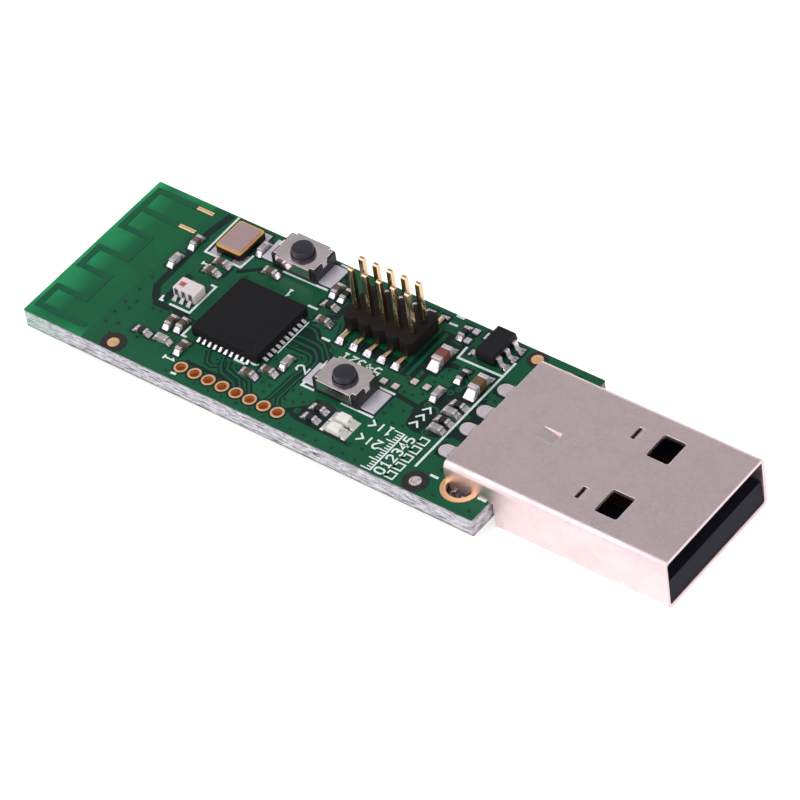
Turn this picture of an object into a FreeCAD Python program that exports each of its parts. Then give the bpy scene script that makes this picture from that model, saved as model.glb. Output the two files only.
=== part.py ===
import FreeCAD, Part
import Sketcher
import os

# Bare circuit board radio stick with a full size plug, in millimetres.
# The stick points along +X, plug first, +Y is across it and +Z is up.
# The origin is below the middle of the whole stick, level with the plug's underside.

Vector = FreeCAD.Vector
Rotation = FreeCAD.Rotation
Placement = FreeCAD.Placement

doc = FreeCAD.newDocument("usb_radio_stick")
sizes = doc.addObject("Spreadsheet::Sheet", "Sizes")
sheet_rows = []


def size(name, value, note):
    """Put one driving dimension in the sheet and return how an expression names it."""
    sheet_rows.append(name)
    row = len(sheet_rows)
    sizes.set(f"A{row}", note)
    sizes.set(f"B{row}", str(value))
    sizes.setAlias(f"B{row}", name)
    return f"Sizes.{name}"


# Board
board_length = size("board_length", 41.0, "length of the board")
board_width = size("board_width", 16.0, "width of the board")
board_thickness = size("board_thickness", 1.6, "thickness of the board")
board_rise = size("board_rise", 0.9, "board underside above the plug underside")
board_corner = size("board_corner", 0.12, "rounding of the board corners")
plating = size("plating", 0.045, "thickness of a copper barrel's wall and flange")
land_height = size("land_height", 0.04, "height of a bare pad over the board")

# Row of plated holes beside the radio chip
hole_count = 8
hole_pitch = size("hole_pitch", 1.27, "pitch of the row of plated holes")
hole_bore = size("hole_bore", 0.375, "radius of a plated hole, inside its barrel")
hole_ring = size("hole_ring", 0.54, "outer radius of a plated hole's ring")
hole_first = size("hole_first", -6.6, "first plated hole, from the board's middle")
hole_inset = size("hole_inset", 1.3, "row of plated holes, inside the near edge")

# Plug shell, a folded steel tube that straddles the end of the board
plug_reach = size("plug_reach", 15.05, "shell front, past the end of the board")
board_overlap = size("board_overlap", 3.75, "shell's rear end, behind the end of the board")
shell_width = size("shell_width", 12.0, "width of the shell")
shell_height = size("shell_height", 4.5, "height of the shell")
shell_wall = size("shell_wall", 0.3, "thickness of the shell's sheet")
shell_corner = size("shell_corner", 0.5, "outer corner radius of the shell")
slot_clearance = size("slot_clearance", 0.35, "gap ahead of the board's end in the shell")
seam_gap = size("seam_gap", 0.07, "width of the seam under the shell")
seam_key = size("seam_key", 1.1, "half width of the seam's dovetail")
seam_key_length = size("seam_key_length", 2.4, "length of the seam's dovetail")
seam_key_centre = size("seam_key_centre", 8.6, "dovetail's middle, from the front")
window_setback = size("window_setback", 5.25, "shell front to the windows")
window_length = size("window_length", 1.9, "window size along the shell")
window_width = size("window_width", 2.35, "window size across the shell")
window_across = size("window_across", 3.08, "window's middle, from the centre line")
window_corner = size("window_corner", 0.2, "corner radius of the windows")
slit_setback = size("slit_setback", 8.56, "shell front to the punched slits")
slit_length = size("slit_length", 0.5, "slit and its ramp, size along the shell")
slit_opening = size("slit_opening", 0.18, "slit itself, size along the shell")
slit_ramp = size("slit_ramp", 0.2, "depth of the ramp beside a slit")
slit_width = size("slit_width", 1.2, "slit size across the shell")
slit_across = size("slit_across", 3.33, "slit's middle, from the centre line")
barb_setback = size("barb_setback", 13.23, "shell front to the pressed barb")
barb_length = size("barb_length", 1.6, "length of the pressed barb")
barb_width = size("barb_width", 1.1, "width of the pressed barb")
barb_depth = size("barb_depth", 0.23, "depth of the pressed barb at its free edge")
leg_setback = size("leg_setback", 1.2, "shell leg's middle, ahead of the shell's rear end")
leg_width = size("leg_width", 1.7, "width of a shell leg")
leg_tip_width = size("leg_tip_width", 1.1, "width of a shell leg at its tip")
leg_poke = size("leg_poke", 0.55, "shell leg below the board")
leg_hole = size("leg_hole", 1.05, "radius of a leg hole, inside its barrel")
leg_ring = size("leg_ring", 1.47, "outer radius of a leg hole's ring")
leg_solder_drop = size("leg_solder_drop", 0.35, "solder in a leg hole, below the board top")
leg_solder_cone = size("leg_solder_cone", 0.4, "height of the solder cone under the board")

# Plug insulator and its four contacts
fit_gap = size("fit_gap", 0.05, "gap between the insulator and the shell")
tongue_setback = size("tongue_setback", 0.1, "tongue front behind the shell front")
tongue_top = size("tongue_top", 2.25, "top of the tongue over the plug underside")
tongue_lip = size("tongue_lip", 0.95, "height of the tongue's upright front edge")
tongue_slope = size("tongue_slope", 0.12, "run of the tongue's sloping front")
block_setback = size("block_setback", 11.8, "moulded block behind the shell front")
block_overhang = size("block_overhang", 0.25, "block end inside the shell's rear end")
contact_thickness = size("contact_thickness", 0.25, "thickness of a contact")
contact_width = size("contact_width", 1.0, "width of a contact")
contact_proud = size("contact_proud", 0.06, "contact's top over the tongue")
contact_bend = size("contact_bend", 1.2, "run of the step in a contact")
contact_inner = size("contact_inner", 1.0, "inner contacts, from the centre line")
contact_outer = size("contact_outer", 3.5, "outer contacts, from the centre line")
contact_long_setback = size("contact_long_setback", 1.6, "long contacts behind the front")
contact_short_setback = size("contact_short_setback", 2.6, "short contacts behind the front")
tail_reach = size("tail_reach", 1.3, "contact tails, behind the shell's rear end")
tail_solder_reach = size("tail_solder_reach", 1.05, "solder past the end of a tail")
tail_land = size("tail_land", 1.2, "pad under a contact tail")
tail_solder_width = size("tail_solder_width", 1.15, "width of the solder on a tail")

# Radio chip
chip_along = size("chip_along", -4.95, "radio chip's middle, from the board's middle")
chip_across = size("chip_across", -0.66, "radio chip's middle, from the centre line")
chip_side = size("chip_side", 6.0, "side of the radio chip")
chip_height = size("chip_height", 0.85, "height of the radio chip's body")
chip_standoff = size("chip_standoff", 0.05, "radio chip's body over the board")
chip_dimple = size("chip_dimple", 0.17, "radius of the first lead's mark")
chip_dimple_depth = size("chip_dimple_depth", 0.03, "depth of the first lead's mark")
chip_dimple_inset = size("chip_dimple_inset", 0.9, "mark's middle, from the chip's edges")
chip_lead_count = 10
lead_pitch = size("lead_pitch", 0.5, "pitch of the radio chip's leads")
lead_width = size("lead_width", 0.24, "width of a radio chip lead")
lead_depth = size("lead_depth", 0.4, "length of a lead under the radio chip")
lead_height = size("lead_height", 0.2, "height of a radio chip lead")
lead_solder_reach = size("lead_solder_reach", 0.42, "solder past a radio chip lead")
slug_side = size("slug_side", 4.4, "side of the ground slug under the chip")

# Crystal
crystal_along = size("crystal_along", -10.88, "crystal's middle, from the board's middle")
crystal_inset = size("crystal_inset", 2.28, "crystal's middle, inside the far edge")
crystal_length = size("crystal_length", 2.5, "crystal size along the board")
crystal_width = size("crystal_width", 3.2, "crystal size across the board")
crystal_base_height = size("crystal_base_height", 0.52, "height of the ceramic base")
crystal_ring_inset = size("crystal_ring_inset", 0.08, "seal ring inside the base's edge")
crystal_ring_height = size("crystal_ring_height", 0.1, "height of the seal ring")
crystal_lid_inset = size("crystal_lid_inset", 0.17, "lid inside the seal ring's edge")
crystal_lid_height = size("crystal_lid_height", 0.09, "thickness of the lid")
crystal_notch = size("crystal_notch", 0.22, "radius of the base's corner notches")
crystal_pad_length = size("crystal_pad_length", 0.95, "crystal pad size along the board")
crystal_pad_width = size("crystal_pad_width", 1.15, "crystal pad size across the board")
crystal_pad_out = size("crystal_pad_out", 0.28, "crystal pad past the base's edges")

# Push switches
switch_length = size("switch_length", 4.1, "switch housing along the board")
switch_width = size("switch_width", 2.6, "switch housing across the board")
housing_height = size("housing_height", 1.24, "height of the switch housing")
well_radius = size("well_radius", 1.24, "radius of the switch's inner well")
well_floor = size("well_floor", 0.45, "floor of the well over the board")
cover_length = size("cover_length", 3.75, "length of the switch's sheet cover")
cover_sheet = size("cover_sheet", 0.13, "thickness of the cover's sheet")
cover_skirt = size("cover_skirt", 0.9, "depth of the cover's side walls")
cover_notch_length = size("cover_notch_length", 0.34, "cover's corner notch along the board")
cover_notch_width = size("cover_notch_width", 0.3, "cover's corner notch across the board")
hook_width = size("hook_width", 0.62, "width of the cover's end hooks")
hook_depth = size("hook_depth", 0.6, "depth of the cover's end hooks")
stem_radius = size("stem_radius", 0.86, "radius of the button's stem")
stem_clearance = size("stem_clearance", 0.06, "gap round the button's stem")
stem_height = size("stem_height", 0.46, "button's top over the cover")
stem_edge = size("stem_edge", 0.09, "rounding of the button's top edge")
flange_radius = size("flange_radius", 1.1, "radius of the button's hidden flange")
flange_thickness = size("flange_thickness", 0.16, "thickness of the button's flange")
nub_radius = size("nub_radius", 0.4, "radius of the nub under the button")
running_gap = size("running_gap", 0.02, "gap above and below the button's flange")
dome_radius = size("dome_radius", 1.15, "radius of the snap dome")
dome_rise = size("dome_rise", 0.36, "height of the snap dome")
dome_sheet = size("dome_sheet", 0.06, "thickness of the snap dome")
terminal_width = size("terminal_width", 2.1, "width of a switch terminal")
terminal_sheet = size("terminal_sheet", 0.18, "thickness of a switch terminal")
terminal_inner = size("terminal_inner", 1.5, "switch terminal's inner end, from its middle")
terminal_outer = size("terminal_outer", 3.25, "switch terminal's outer end, from its middle")
switch_one_along = size("switch_one_along", -5.4, "first switch, from the board's middle")
switch_one_inset = size("switch_one_inset", 1.6, "first switch, inside the far edge")
switch_two_along = size("switch_two_along", 5.15, "second switch, from the board's middle")
switch_two_across = size("switch_two_across", -2.27, "second switch, from the centre line")

# Pin header
pin_column_count = 5
header_along = size("header_along", 4.29, "header's middle, from the board's middle")
header_inset = size("header_inset", 3.72, "header's middle, inside the far edge")
pin_pitch = size("pin_pitch", 1.27, "pitch of the header's pins")
pin_side = size("pin_side", 0.4, "side of a square pin")
pin_top = size("pin_top", 5.45, "pin tips over the board")
pin_taper = size("pin_taper", 0.1, "bevel of a pin's tip")
foot_height = size("foot_height", 0.3, "height of a pin's foot")
foot_end = size("foot_end", 2.75, "end of a pin's foot, from the header's middle")
header_width = size("header_width", 3.7, "header body size across the board")
header_height = size("header_height", 1.25, "height of the header's body")
header_standoff = size("header_standoff", 0.32, "header's body over the board")
header_chamfer = size("header_chamfer", 0.34, "corner cut between the header's lobes")

# Voltage regulator
regulator_along = size("regulator_along", 4.6, "regulator's middle, from the shell's rear end")
regulator_inset = size("regulator_inset", 1.67, "regulator's middle, inside the far edge")
regulator_length = size("regulator_length", 1.65, "regulator body along the board")
regulator_width = size("regulator_width", 2.9, "regulator body across the board")
regulator_height = size("regulator_height", 1.05, "height of the regulator's body")
regulator_standoff = size("regulator_standoff", 0.08, "regulator's body over the board")
regulator_draft = size("regulator_draft", 7, "draft of the regulator's sides, in degrees")
gull_pitch = size("gull_pitch", 0.95, "pitch of the regulator's leads")
gull_width = size("gull_width", 0.4, "width of a regulator lead")
gull_sheet = size("gull_sheet", 0.14, "thickness of a regulator lead")
gull_reach = size("gull_reach", 0.62, "regulator lead past the body")
gull_knee = size("gull_knee", 0.2, "regulator lead's bend past the body")
gull_level = size("gull_level", 0.6, "regulator lead's upper run over the board")

# Balun filter beside the antenna feed
balun_along = size("balun_along", 5.83, "balun's middle, behind the radio chip's")
balun_across = size("balun_across", 0.2, "balun's middle, across from the radio chip's")
balun_length = size("balun_length", 2.05, "balun size along the board")
balun_width = size("balun_width", 1.3, "balun size across the board")
balun_height = size("balun_height", 0.85, "height of the balun")
balun_terminal_pitch = size("balun_terminal_pitch", 0.65, "pitch of the balun's terminals")
balun_terminal_width = size("balun_terminal_width", 0.3, "width of a balun terminal")
balun_terminal_sheet = size("balun_terminal_sheet", 0.05, "thickness of a balun terminal")
balun_foot = size("balun_foot", 0.42, "solder past a balun terminal")

# Light emitting diodes
led_along = size("led_along", 7.0, "lights, from the board's middle")
led_inset = size("led_inset", 2.02, "second light, inside the near edge")
led_pitch = size("led_pitch", 1.05, "distance between the lights")
led_length = size("led_length", 1.6, "length of a light")
led_width = size("led_width", 0.8, "width of a light")
led_base_height = size("led_base_height", 0.2, "height of a light's base")
led_lens_length = size("led_lens_length", 1.1, "length of a light's lens")
led_lens_height = size("led_lens_height", 0.34, "height of a light's lens")
led_cap_length = size("led_cap_length", 0.24, "length of a light's end plating")

# Small two ended parts
small_length = size("small_length", 1.0, "length of a small part")
small_width = size("small_width", 0.5, "width of a small part")
small_cap = size("small_cap", 0.24, "length of a small part's end plating")
resistor_height = size("resistor_height", 0.34, "height of a small resistor")
capacitor_height = size("capacitor_height", 0.48, "height of a small capacitor")
bulk_length = size("bulk_length", 1.56, "length of a large capacitor")
bulk_width = size("bulk_width", 0.85, "width of a large capacitor")
bulk_height = size("bulk_height", 0.8, "height of a large capacitor")
bulk_cap = size("bulk_cap", 0.38, "length of a large capacitor's end plating")
input_bulk_along = size("input_bulk_along", 7.49, "input capacitor, from the shell's rear end")
input_bulk_inset = size("input_bulk_inset", 4.28, "input capacitor, inside the far edge")
output_bulk_along = size("output_bulk_along", 3.5, "output capacitor, from the shell's rear end")
output_bulk_across = size("output_bulk_across", 2.72, "output capacitor, from the centre line")
joint_reach = size("joint_reach", 0.34, "solder past a small part's end")
solder_spread = size("solder_spread", 1.22, "toe of a solder ramp, share of the width of its part")
bulk_joint_reach = size("bulk_joint_reach", 0.66, "solder past a large capacitor's end")

# Copper on the board
trace_width = size("trace_width", 0.5, "width of the antenna's copper")
trace_height = size("trace_height", 0.035, "height of the antenna's copper")
antenna_inset = size("antenna_inset", 0.6, "antenna's outer runs, from the antenna end")
antenna_depth = size("antenna_depth", 2.7, "depth of the antenna's folds")
antenna_tail = size("antenna_tail", 5.1, "end of the antenna's open run")
antenna_open_inset = size("antenna_open_inset", 1.05, "antenna's open run, inside the near edge")
antenna_fold = size("antenna_fold", 2.2, "wide part of an antenna fold, across")
antenna_space = size("antenna_space", 2.65, "space between antenna folds, across")
antenna_feed_gap = size("antenna_feed_gap", 2.2, "antenna's feed run, from its ground run")
antenna_ground_inset = size("antenna_ground_inset", 0.82, "antenna's ground run, inside the far edge")
feed_pad_along = size("feed_pad_along", 5.08, "bare antenna pads, from the antenna end")
feed_pad_length = size("feed_pad_length", 1.5, "length of a bare antenna pad")
feed_pad_width = size("feed_pad_width", 0.34, "width of a bare antenna pad")
dot_radius = size("dot_radius", 0.46, "radius of an alignment dot")
bare_pad_length = size("bare_pad_length", 0.5, "side of an empty tinned pad")
bare_pad_height = size("bare_pad_height", 0.13, "height of the tin on an empty pad")

# Where each small part lies, along and across from a neighbour
crystal_load_a_along = size("crystal_load_a_along", -5.95, "crystal load a, along from the radio chip")
crystal_load_a_across = size("crystal_load_a_across", 2.86, "crystal load a, across from the radio chip")
crystal_load_b_along = size("crystal_load_b_along", 0.1, "crystal load b, along from the crystal")
crystal_load_b_across = size("crystal_load_b_across", -2.42, "crystal load b, across from the crystal")
supply_a_along = size("supply_a_along", -2.05, "supply a, along from the radio chip")
supply_a_across = size("supply_a_across", 5.02, "supply a, across from the radio chip")
supply_b_along = size("supply_b_along", 3.8, "supply b, along from the first switch")
supply_b_across = size("supply_b_across", -1.0, "supply b, across from the first switch")
supply_c_along = size("supply_c_along", 4.45, "supply c, along from the radio chip")
supply_c_across = size("supply_c_across", 2.96, "supply c, across from the radio chip")
supply_d_along = size("supply_d_along", 3.07, "supply d, along from the radio chip")
supply_d_across = size("supply_d_across", -4.12, "supply d, across from the radio chip")
supply_e_along = size("supply_e_along", 4.17, "supply e, along from the radio chip")
supply_e_across = size("supply_e_across", -3.2, "supply e, across from the radio chip")
filter_a_along = size("filter_a_along", -5.13, "filter a, along from the radio chip")
filter_a_across = size("filter_a_across", -2.84, "filter a, across from the radio chip")
filter_b_along = size("filter_b_along", -4.23, "filter b, along from the radio chip")
filter_b_across = size("filter_b_across", -2.64, "filter b, across from the radio chip")
filter_c_along = size("filter_c_along", -2.77, "filter c, along from the radio chip")
filter_c_across = size("filter_c_across", -4.49, "filter c, across from the radio chip")
match_a_along = size("match_a_along", 1.62, "match a, along from the antenna's feed pad")
match_a_across = size("match_a_across", -0.88, "match a, across from the antenna's feed pad")
bias_along = size("bias_along", -6.41, "bias, along from the radio chip")
bias_across = size("bias_across", -4.64, "bias, across from the radio chip")
reset_pull_along = size("reset_pull_along", 4.62, "reset pull, along from the first switch")
reset_pull_across = size("reset_pull_across", -1.05, "reset pull, across from the first switch")
button_pull_along = size("button_pull_along", 4.28, "button pull, along from the first switch")
button_pull_across = size("button_pull_across", -2.56, "button pull, across from the first switch")
light_one_series_along = size("light_one_series_along", -2.3, "light one series, along")
light_one_series_across = size("light_one_series_across", 1.02, "light one series, across")
light_two_series_along = size("light_two_series_along", -2.26, "light two series, along")
light_two_series_across = size("light_two_series_across", 0.0, "light two series, across")
regulator_set_along = size("regulator_set_along", -3.15, "regulator set, along from the regulator")
regulator_set_across = size("regulator_set_across", 0.33, "regulator set, across from the regulator")
supply_bleed_along = size("supply_bleed_along", -5.21, "supply bleed, along from the shell's rear end")
supply_bleed_across = size("supply_bleed_across", 3.03, "supply bleed, across from the shell's rear end")
data_minus_series_along = size("data_minus_series_along", -3.68, "data minus series, along")
data_minus_series_across = size("data_minus_series_across", 0.49, "data minus series, across")
data_plus_series_along = size("data_plus_series_along", -3.68, "data plus series, along")
data_plus_series_across = size("data_plus_series_across", -1.31, "data plus series, across")
match_b_along = size("match_b_along", 1.47, "match b, along from the antenna's feed pad")
match_b_across = size("match_b_across", -3.16, "match b, across from the antenna's feed pad")
crystal_guard_along = size("crystal_guard_along", 1.88, "crystal guard, along from the crystal")
crystal_guard_across = size("crystal_guard_across", 0.38, "crystal guard, across from the crystal")
filter_d_along = size("filter_d_along", -4.55, "filter d, along from the radio chip")
filter_d_across = size("filter_d_across", -4.58, "filter d, across from the radio chip")
ferrite_a_along = size("ferrite_a_along", 4.8, "ferrite a, along from the radio chip")
ferrite_a_across = size("ferrite_a_across", -1.76, "ferrite a, across from the radio chip")
ferrite_b_along = size("ferrite_b_along", -5.63, "ferrite b, along from the shell's rear end")
ferrite_b_across = size("ferrite_b_across", 0.66, "ferrite b, across from the shell's rear end")
data_filter_a_along = size("data_filter_a_along", -3.7, "data filter a, along from the shell's rear end")
data_filter_a_across = size("data_filter_a_across", -0.41, "data filter a, across")
data_filter_b_along = size("data_filter_b_along", -3.59, "data filter b, along from the shell's rear end")
data_filter_b_across = size("data_filter_b_across", -2.25, "data filter b, across")

# Alignment dots, and the empty pads of parts left off
dot_near_antenna_along = size("dot_near_antenna_along", 8.0, "near dot, from the antenna end")
dot_near_antenna_inset = size("dot_near_antenna_inset", 0.75, "near dot, inside the board's edge")
dot_near_plug_along = size("dot_near_plug_along", 1.9, "near dot, behind the shell's rear end")
dot_near_plug_inset = size("dot_near_plug_inset", 1.0, "near dot, inside the board's edge")
dot_far_plug_along = size("dot_far_plug_along", 1.65, "far dot, behind the shell's rear end")
dot_far_plug_inset = size("dot_far_plug_inset", 0.8, "far dot, inside the board's edge")
regulator_pads_along = size("regulator_pads_along", 2.47, "far pair of empty pads, behind the regulator")
regulator_pads_across = size("regulator_pads_across", 0.345, "far pair of empty pads, across")
regulator_pads_gap = size("regulator_pads_gap", 1.05, "distance between the far pair of empty pads")
input_pads_along = size("input_pads_along", 7.3, "middle pair of empty pads, behind the shell's rear end")
input_pads_across = size("input_pads_across", 0.83, "middle pair of empty pads, from the centre line")
input_pads_gap = size("input_pads_gap", 1.1, "distance between the middle pair of empty pads")
switch_pads_along = size("switch_pads_along", 2.325, "near pair of empty pads, ahead of the second switch")
switch_pads_across = size("switch_pads_across", 2.005, "near pair of empty pads, across")
switch_pads_gap = size("switch_pads_gap", 1.05, "distance between the near pair of empty pads")

# Levels, ends and places that other pieces share
LEFT = f"-({board_length} + {plug_reach}) / 2"
FRONT = f"({board_length} + {plug_reach}) / 2"
TOP = f"({board_rise} + {board_thickness})"
SEAT = f"({board_rise} + {board_thickness} + {plating})"
INNER_TOP = f"({shell_height} - {shell_wall} - {fit_gap})"
INNER_WIDTH = f"({shell_width} - 2 * {shell_wall} - 2 * {fit_gap})"
FLOOR = f"({shell_wall} + {fit_gap})"
REAR_END = f"({LEFT} + {board_length} - {board_overlap})"
MIDDLE = f"({LEFT} + {board_length} / 2)"
NEAR_EDGE = f"(-{board_width} / 2)"
FAR_EDGE = f"({board_width} / 2)"
SHELL_LENGTH = f"({plug_reach} + {board_overlap})"
SLOT_FRONT = f"(-{plug_reach} + {slot_clearance})"
LEG_ALONG = f"({board_length} - {board_overlap} + {leg_setback})"
LEG_ACROSS = f"({shell_width} / 2 - {shell_wall} / 2)"
COVER_LEVEL = f"({housing_height} + {cover_sheet})"
HOLE_ROW = f"({NEAR_EDGE} + {hole_inset})"
GROUND_RUN = f"({FAR_EDGE} - {antenna_ground_inset})"
FEED_RUN = f"({GROUND_RUN} - {antenna_feed_gap})"

# Places that small parts are measured from, along and across
CHIP = (f"({MIDDLE} + {chip_along})", chip_across)
CRYSTAL = (f"({MIDDLE} + {crystal_along})", f"({FAR_EDGE} - {crystal_inset})")
SWITCH = (f"({MIDDLE} + {switch_one_along})", f"({FAR_EDGE} - {switch_one_inset})")
SECOND_SWITCH = (f"({MIDDLE} + {switch_two_along})", switch_two_across)
HEADER = (f"({MIDDLE} + {header_along})", f"({FAR_EDGE} - {header_inset})")
FEED = (f"({LEFT} + {feed_pad_along})", FEED_RUN)
LIGHT = (f"({MIDDLE} + {led_along})", f"({NEAR_EDGE} + {led_inset})")
REGULATOR = (f"({REAR_END} - {regulator_along})", f"({FAR_EDGE} - {regulator_inset})")
REAR = (REAR_END, "0")
LENGTHWISE = True
CROSSWISE = False

subparts = []


def keep(item, label):
    """Name a finished sub-part after its file."""
    item.Label = label
    subparts.append(item)
    return item


def place(item, along=None, across=None, level=None):
    """Bind where an item stands to expressions."""
    for axis, expression in zip("xyz", (along, across, level)):
        if expression is not None:
            item.setExpression(f"Placement.Base.{axis}", expression)
    return item


def new_body(name, along="0", across="0", level="0"):
    """Start a body that stands at a place given by expressions."""
    body = doc.addObject("PartDesign::Body", name)
    return place(body, along, across, level)


def sketch_on(body, role, name, offset=None):
    """Start a sketch on one of a body's own origin planes."""
    sketch = body.newObject("Sketcher::SketchObject", name)
    plane = [item for item in body.Origin.OriginFeatures if item.Role == role][0]
    sketch.AttachmentSupport = [(plane, "")]
    sketch.MapMode = "FlatFace"
    if offset is not None:
        sketch.setExpression("AttachmentOffset.Base.z", offset)
    return sketch


def bind(sketch, constraint, expression):
    """Add one dimension to a sketch and tie it to an expression."""
    index = sketch.addConstraint(constraint)
    sketch.setExpression(f"Constraints[{index}]", expression)


def outline(sketch, points):
    """Draw a closed outline whose corners are pairs of expressions."""
    count = len(points)
    first = sketch.GeometryCount
    for index in range(count):
        start = Vector(index % 3 + index, index % 2 + index * 0.7, 0)
        end = Vector(index % 3 + index + 1, index % 2 + index * 0.7 + 1, 0)
        sketch.addGeometry(Part.LineSegment(start, end), False)
    for index in range(count):
        following = first + (index + 1) % count
        sketch.addConstraint(Sketcher.Constraint("Coincident", first + index, 2, following, 1))
    for index, (across, up) in enumerate(points):
        line = first + index
        bind(sketch, Sketcher.Constraint("DistanceX", -1, 1, line, 1, 1.0), across)
        bind(sketch, Sketcher.Constraint("DistanceY", -1, 1, line, 1, 1.0), up)


def box_outline(sketch, low_x, low_y, high_x, high_y):
    """Draw a rectangle between two corners."""
    outline(sketch, [(low_x, low_y), (high_x, low_y), (high_x, high_y), (low_x, high_y)])


def circle(sketch, across, up, radius):
    """Draw a circle with its middle and radius bound."""
    index = sketch.addGeometry(Part.Circle(Vector(1, 1, 0), Vector(0, 0, 1), 1.0), False)
    bind(sketch, Sketcher.Constraint("DistanceX", -1, 1, index, 3, 1.0), across)
    bind(sketch, Sketcher.Constraint("DistanceY", -1, 1, index, 3, 1.0), up)
    bind(sketch, Sketcher.Constraint("Radius", index, 1.0), radius)


def pad(body, sketch, name, length, symmetric=False, backwards=False):
    """Raise a sketch into solid."""
    feature = body.newObject("PartDesign::Pad", name)
    feature.Profile = sketch
    feature.setExpression("Length", length)
    if symmetric:
        feature.SideType = "Symmetric"
    feature.Reversed = backwards
    return feature


def pocket(body, sketch, name, length, symmetric=False, backwards=False):
    """Cut a sketch out of the solid, and make sure that it cuts."""
    doc.recompute()
    before = body.Shape.Volume
    feature = body.newObject("PartDesign::Pocket", name)
    feature.Profile = sketch
    feature.setExpression("Length", length)
    if symmetric:
        feature.SideType = "Symmetric"
    feature.Reversed = backwards
    doc.recompute()
    if body.Shape.Volume >= before:
        raise RuntimeError(f"{name} cuts nothing")
    return feature


def turn(body, sketch, name):
    """Turn a sketch round the upright axis."""
    feature = body.newObject("PartDesign::Revolution", name)
    feature.Profile = sketch
    feature.ReferenceAxis = (sketch, ["V_Axis"])
    feature.Angle = 360
    return feature


def same(first, second):
    """Whether two lengths are equal."""
    return abs(first - second) < 1e-5


def upright(start, end):
    """Whether an edge stands along the Z axis."""
    return same(start.x, end.x) and same(start.y, end.y)


def lengthwise_edge(start, end):
    """Whether an edge runs along the X axis."""
    return same(start.y, end.y) and same(start.z, end.z)


def edges_where(body, test):
    """Names of the body's straight edges that pass a test of their two ends."""
    doc.recompute()
    names = []
    for index, edge in enumerate(body.Tip.Shape.Edges):
        ends = [vertex.Point for vertex in edge.Vertexes]
        if len(ends) == 2 and test(ends[0], ends[1]):
            names.append(f"Edge{index + 1}")
    return names


def soften(body, name, radius, test, kind="Fillet"):
    """Round or bevel the edges that pass a test."""
    names = edges_where(body, test)
    base = body.Tip
    feature = body.newObject(f"PartDesign::{kind}", name)
    feature.Base = (base, names)
    feature.setExpression("Radius" if kind == "Fillet" else "Size", radius)
    return feature


def repeat(body, feature, name, role, spacing, count):
    """Repeat a feature along one of the body's own axes."""
    axis = [item for item in body.Origin.OriginFeatures if item.Role == role][0]
    pattern = body.newObject("PartDesign::LinearPattern", name)
    pattern.Originals = [feature]
    pattern.Direction = (axis, [""])
    pattern.Mode = "Spacing"
    pattern.setExpression("Offset", spacing)
    pattern.Occurrences = count
    body.Tip = pattern
    return pattern


def mirror(body, features, name, role):
    """Mirror features in one of the body's own planes."""
    plane = [item for item in body.Origin.OriginFeatures if item.Role == role][0]
    copy = body.newObject("PartDesign::Mirrored", name)
    copy.Originals = features
    copy.MirrorPlane = (plane, [""])
    body.Tip = copy
    return copy


def block(name, along, across, level, length, width, height):
    """A plain block, centred on a place and standing on a level."""
    box = doc.addObject("Part::Box", name)
    box.setExpression("Length", length)
    box.setExpression("Width", width)
    box.setExpression("Height", height)
    return place(box, f"{along} - ({length}) / 2", f"{across} - ({width}) / 2", level)


def disc(name, along, across, level, radius, height):
    """A short upright cylinder."""
    cylinder = doc.addObject("Part::Cylinder", name)
    cylinder.setExpression("Radius", radius)
    cylinder.setExpression("Height", height)
    return place(cylinder, along, across, level)


def cut(name, base, tool):
    """One solid with another taken out of it."""
    result = doc.addObject("Part::Cut", name)
    result.Base = base
    result.Tool = tool
    return result


def group(label, items):
    """Separate solids of one kind that share a sub-part."""
    compound = doc.addObject("Part::Compound", label)
    compound.Links = items
    return keep(compound, label)


def fillet_of_solder(name, along, across, facing, width, height, reach):
    """A ramp of solder that rises to a part's end; facing is where its toe points."""
    ramp = doc.addObject("Part::Wedge", name)
    turned = Rotation(Vector(0, 0, 1), facing) * Rotation(Vector(1, 0, 0), 90)
    ramp.Placement = Placement(Vector(0, 0, 0), turned)
    half = f"({width}) / 2"
    spread = f"({width}) * {solder_spread} / 2"
    ramp.setExpression("Xmax", reach)
    ramp.setExpression("X2max", f"({reach}) * 0.12")
    ramp.setExpression("Ymax", height)
    ramp.setExpression("Zmin", f"-{spread}")
    ramp.setExpression("Zmax", spread)
    ramp.setExpression("Z2min", f"-{half} * 0.86")
    ramp.setExpression("Z2max", f"{half} * 0.86")
    ramp.Xmin = 0
    ramp.X2min = 0
    ramp.Ymin = 0
    return place(ramp, along, across, TOP)


def from_antenna(along):
    """A distance from the antenna end of the board, as a place on the X axis."""
    return f"({LEFT} + {along})"


def beside(anchor, along, across):
    """A place along and across from another piece's place."""
    return f"({anchor[0]} + {along})", f"({anchor[1]} + {across})"


def ring_of_copper(name, along, across, level):
    """A flat ring of copper round the mouth of a plated hole."""
    body = new_body(name, along, across, level)
    sketch = sketch_on(body, "XY_Plane", f"{name}_plan")
    circle(sketch, "0", "0", hole_ring)
    circle(sketch, "0", "0", hole_bore)
    pad(body, sketch, f"{name}_pad", plating)
    return body


def plated_barrel(name, along, across, bore, ring):
    """A copper barrel with a flange on each face of the board."""
    body = new_body(name, along, across, board_rise)
    sketch = sketch_on(body, "XZ_Plane", f"{name}_section")
    wall = f"({bore} + {plating})"
    under = f"-{plating}"
    over = f"({board_thickness} + {plating})"
    outline(sketch, [
        (bore, under), (ring, under), (ring, "0"), (wall, "0"),
        (wall, board_thickness), (ring, board_thickness), (ring, over), (bore, over),
    ])
    turn(body, sketch, f"{name}_turned")
    return body


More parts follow.
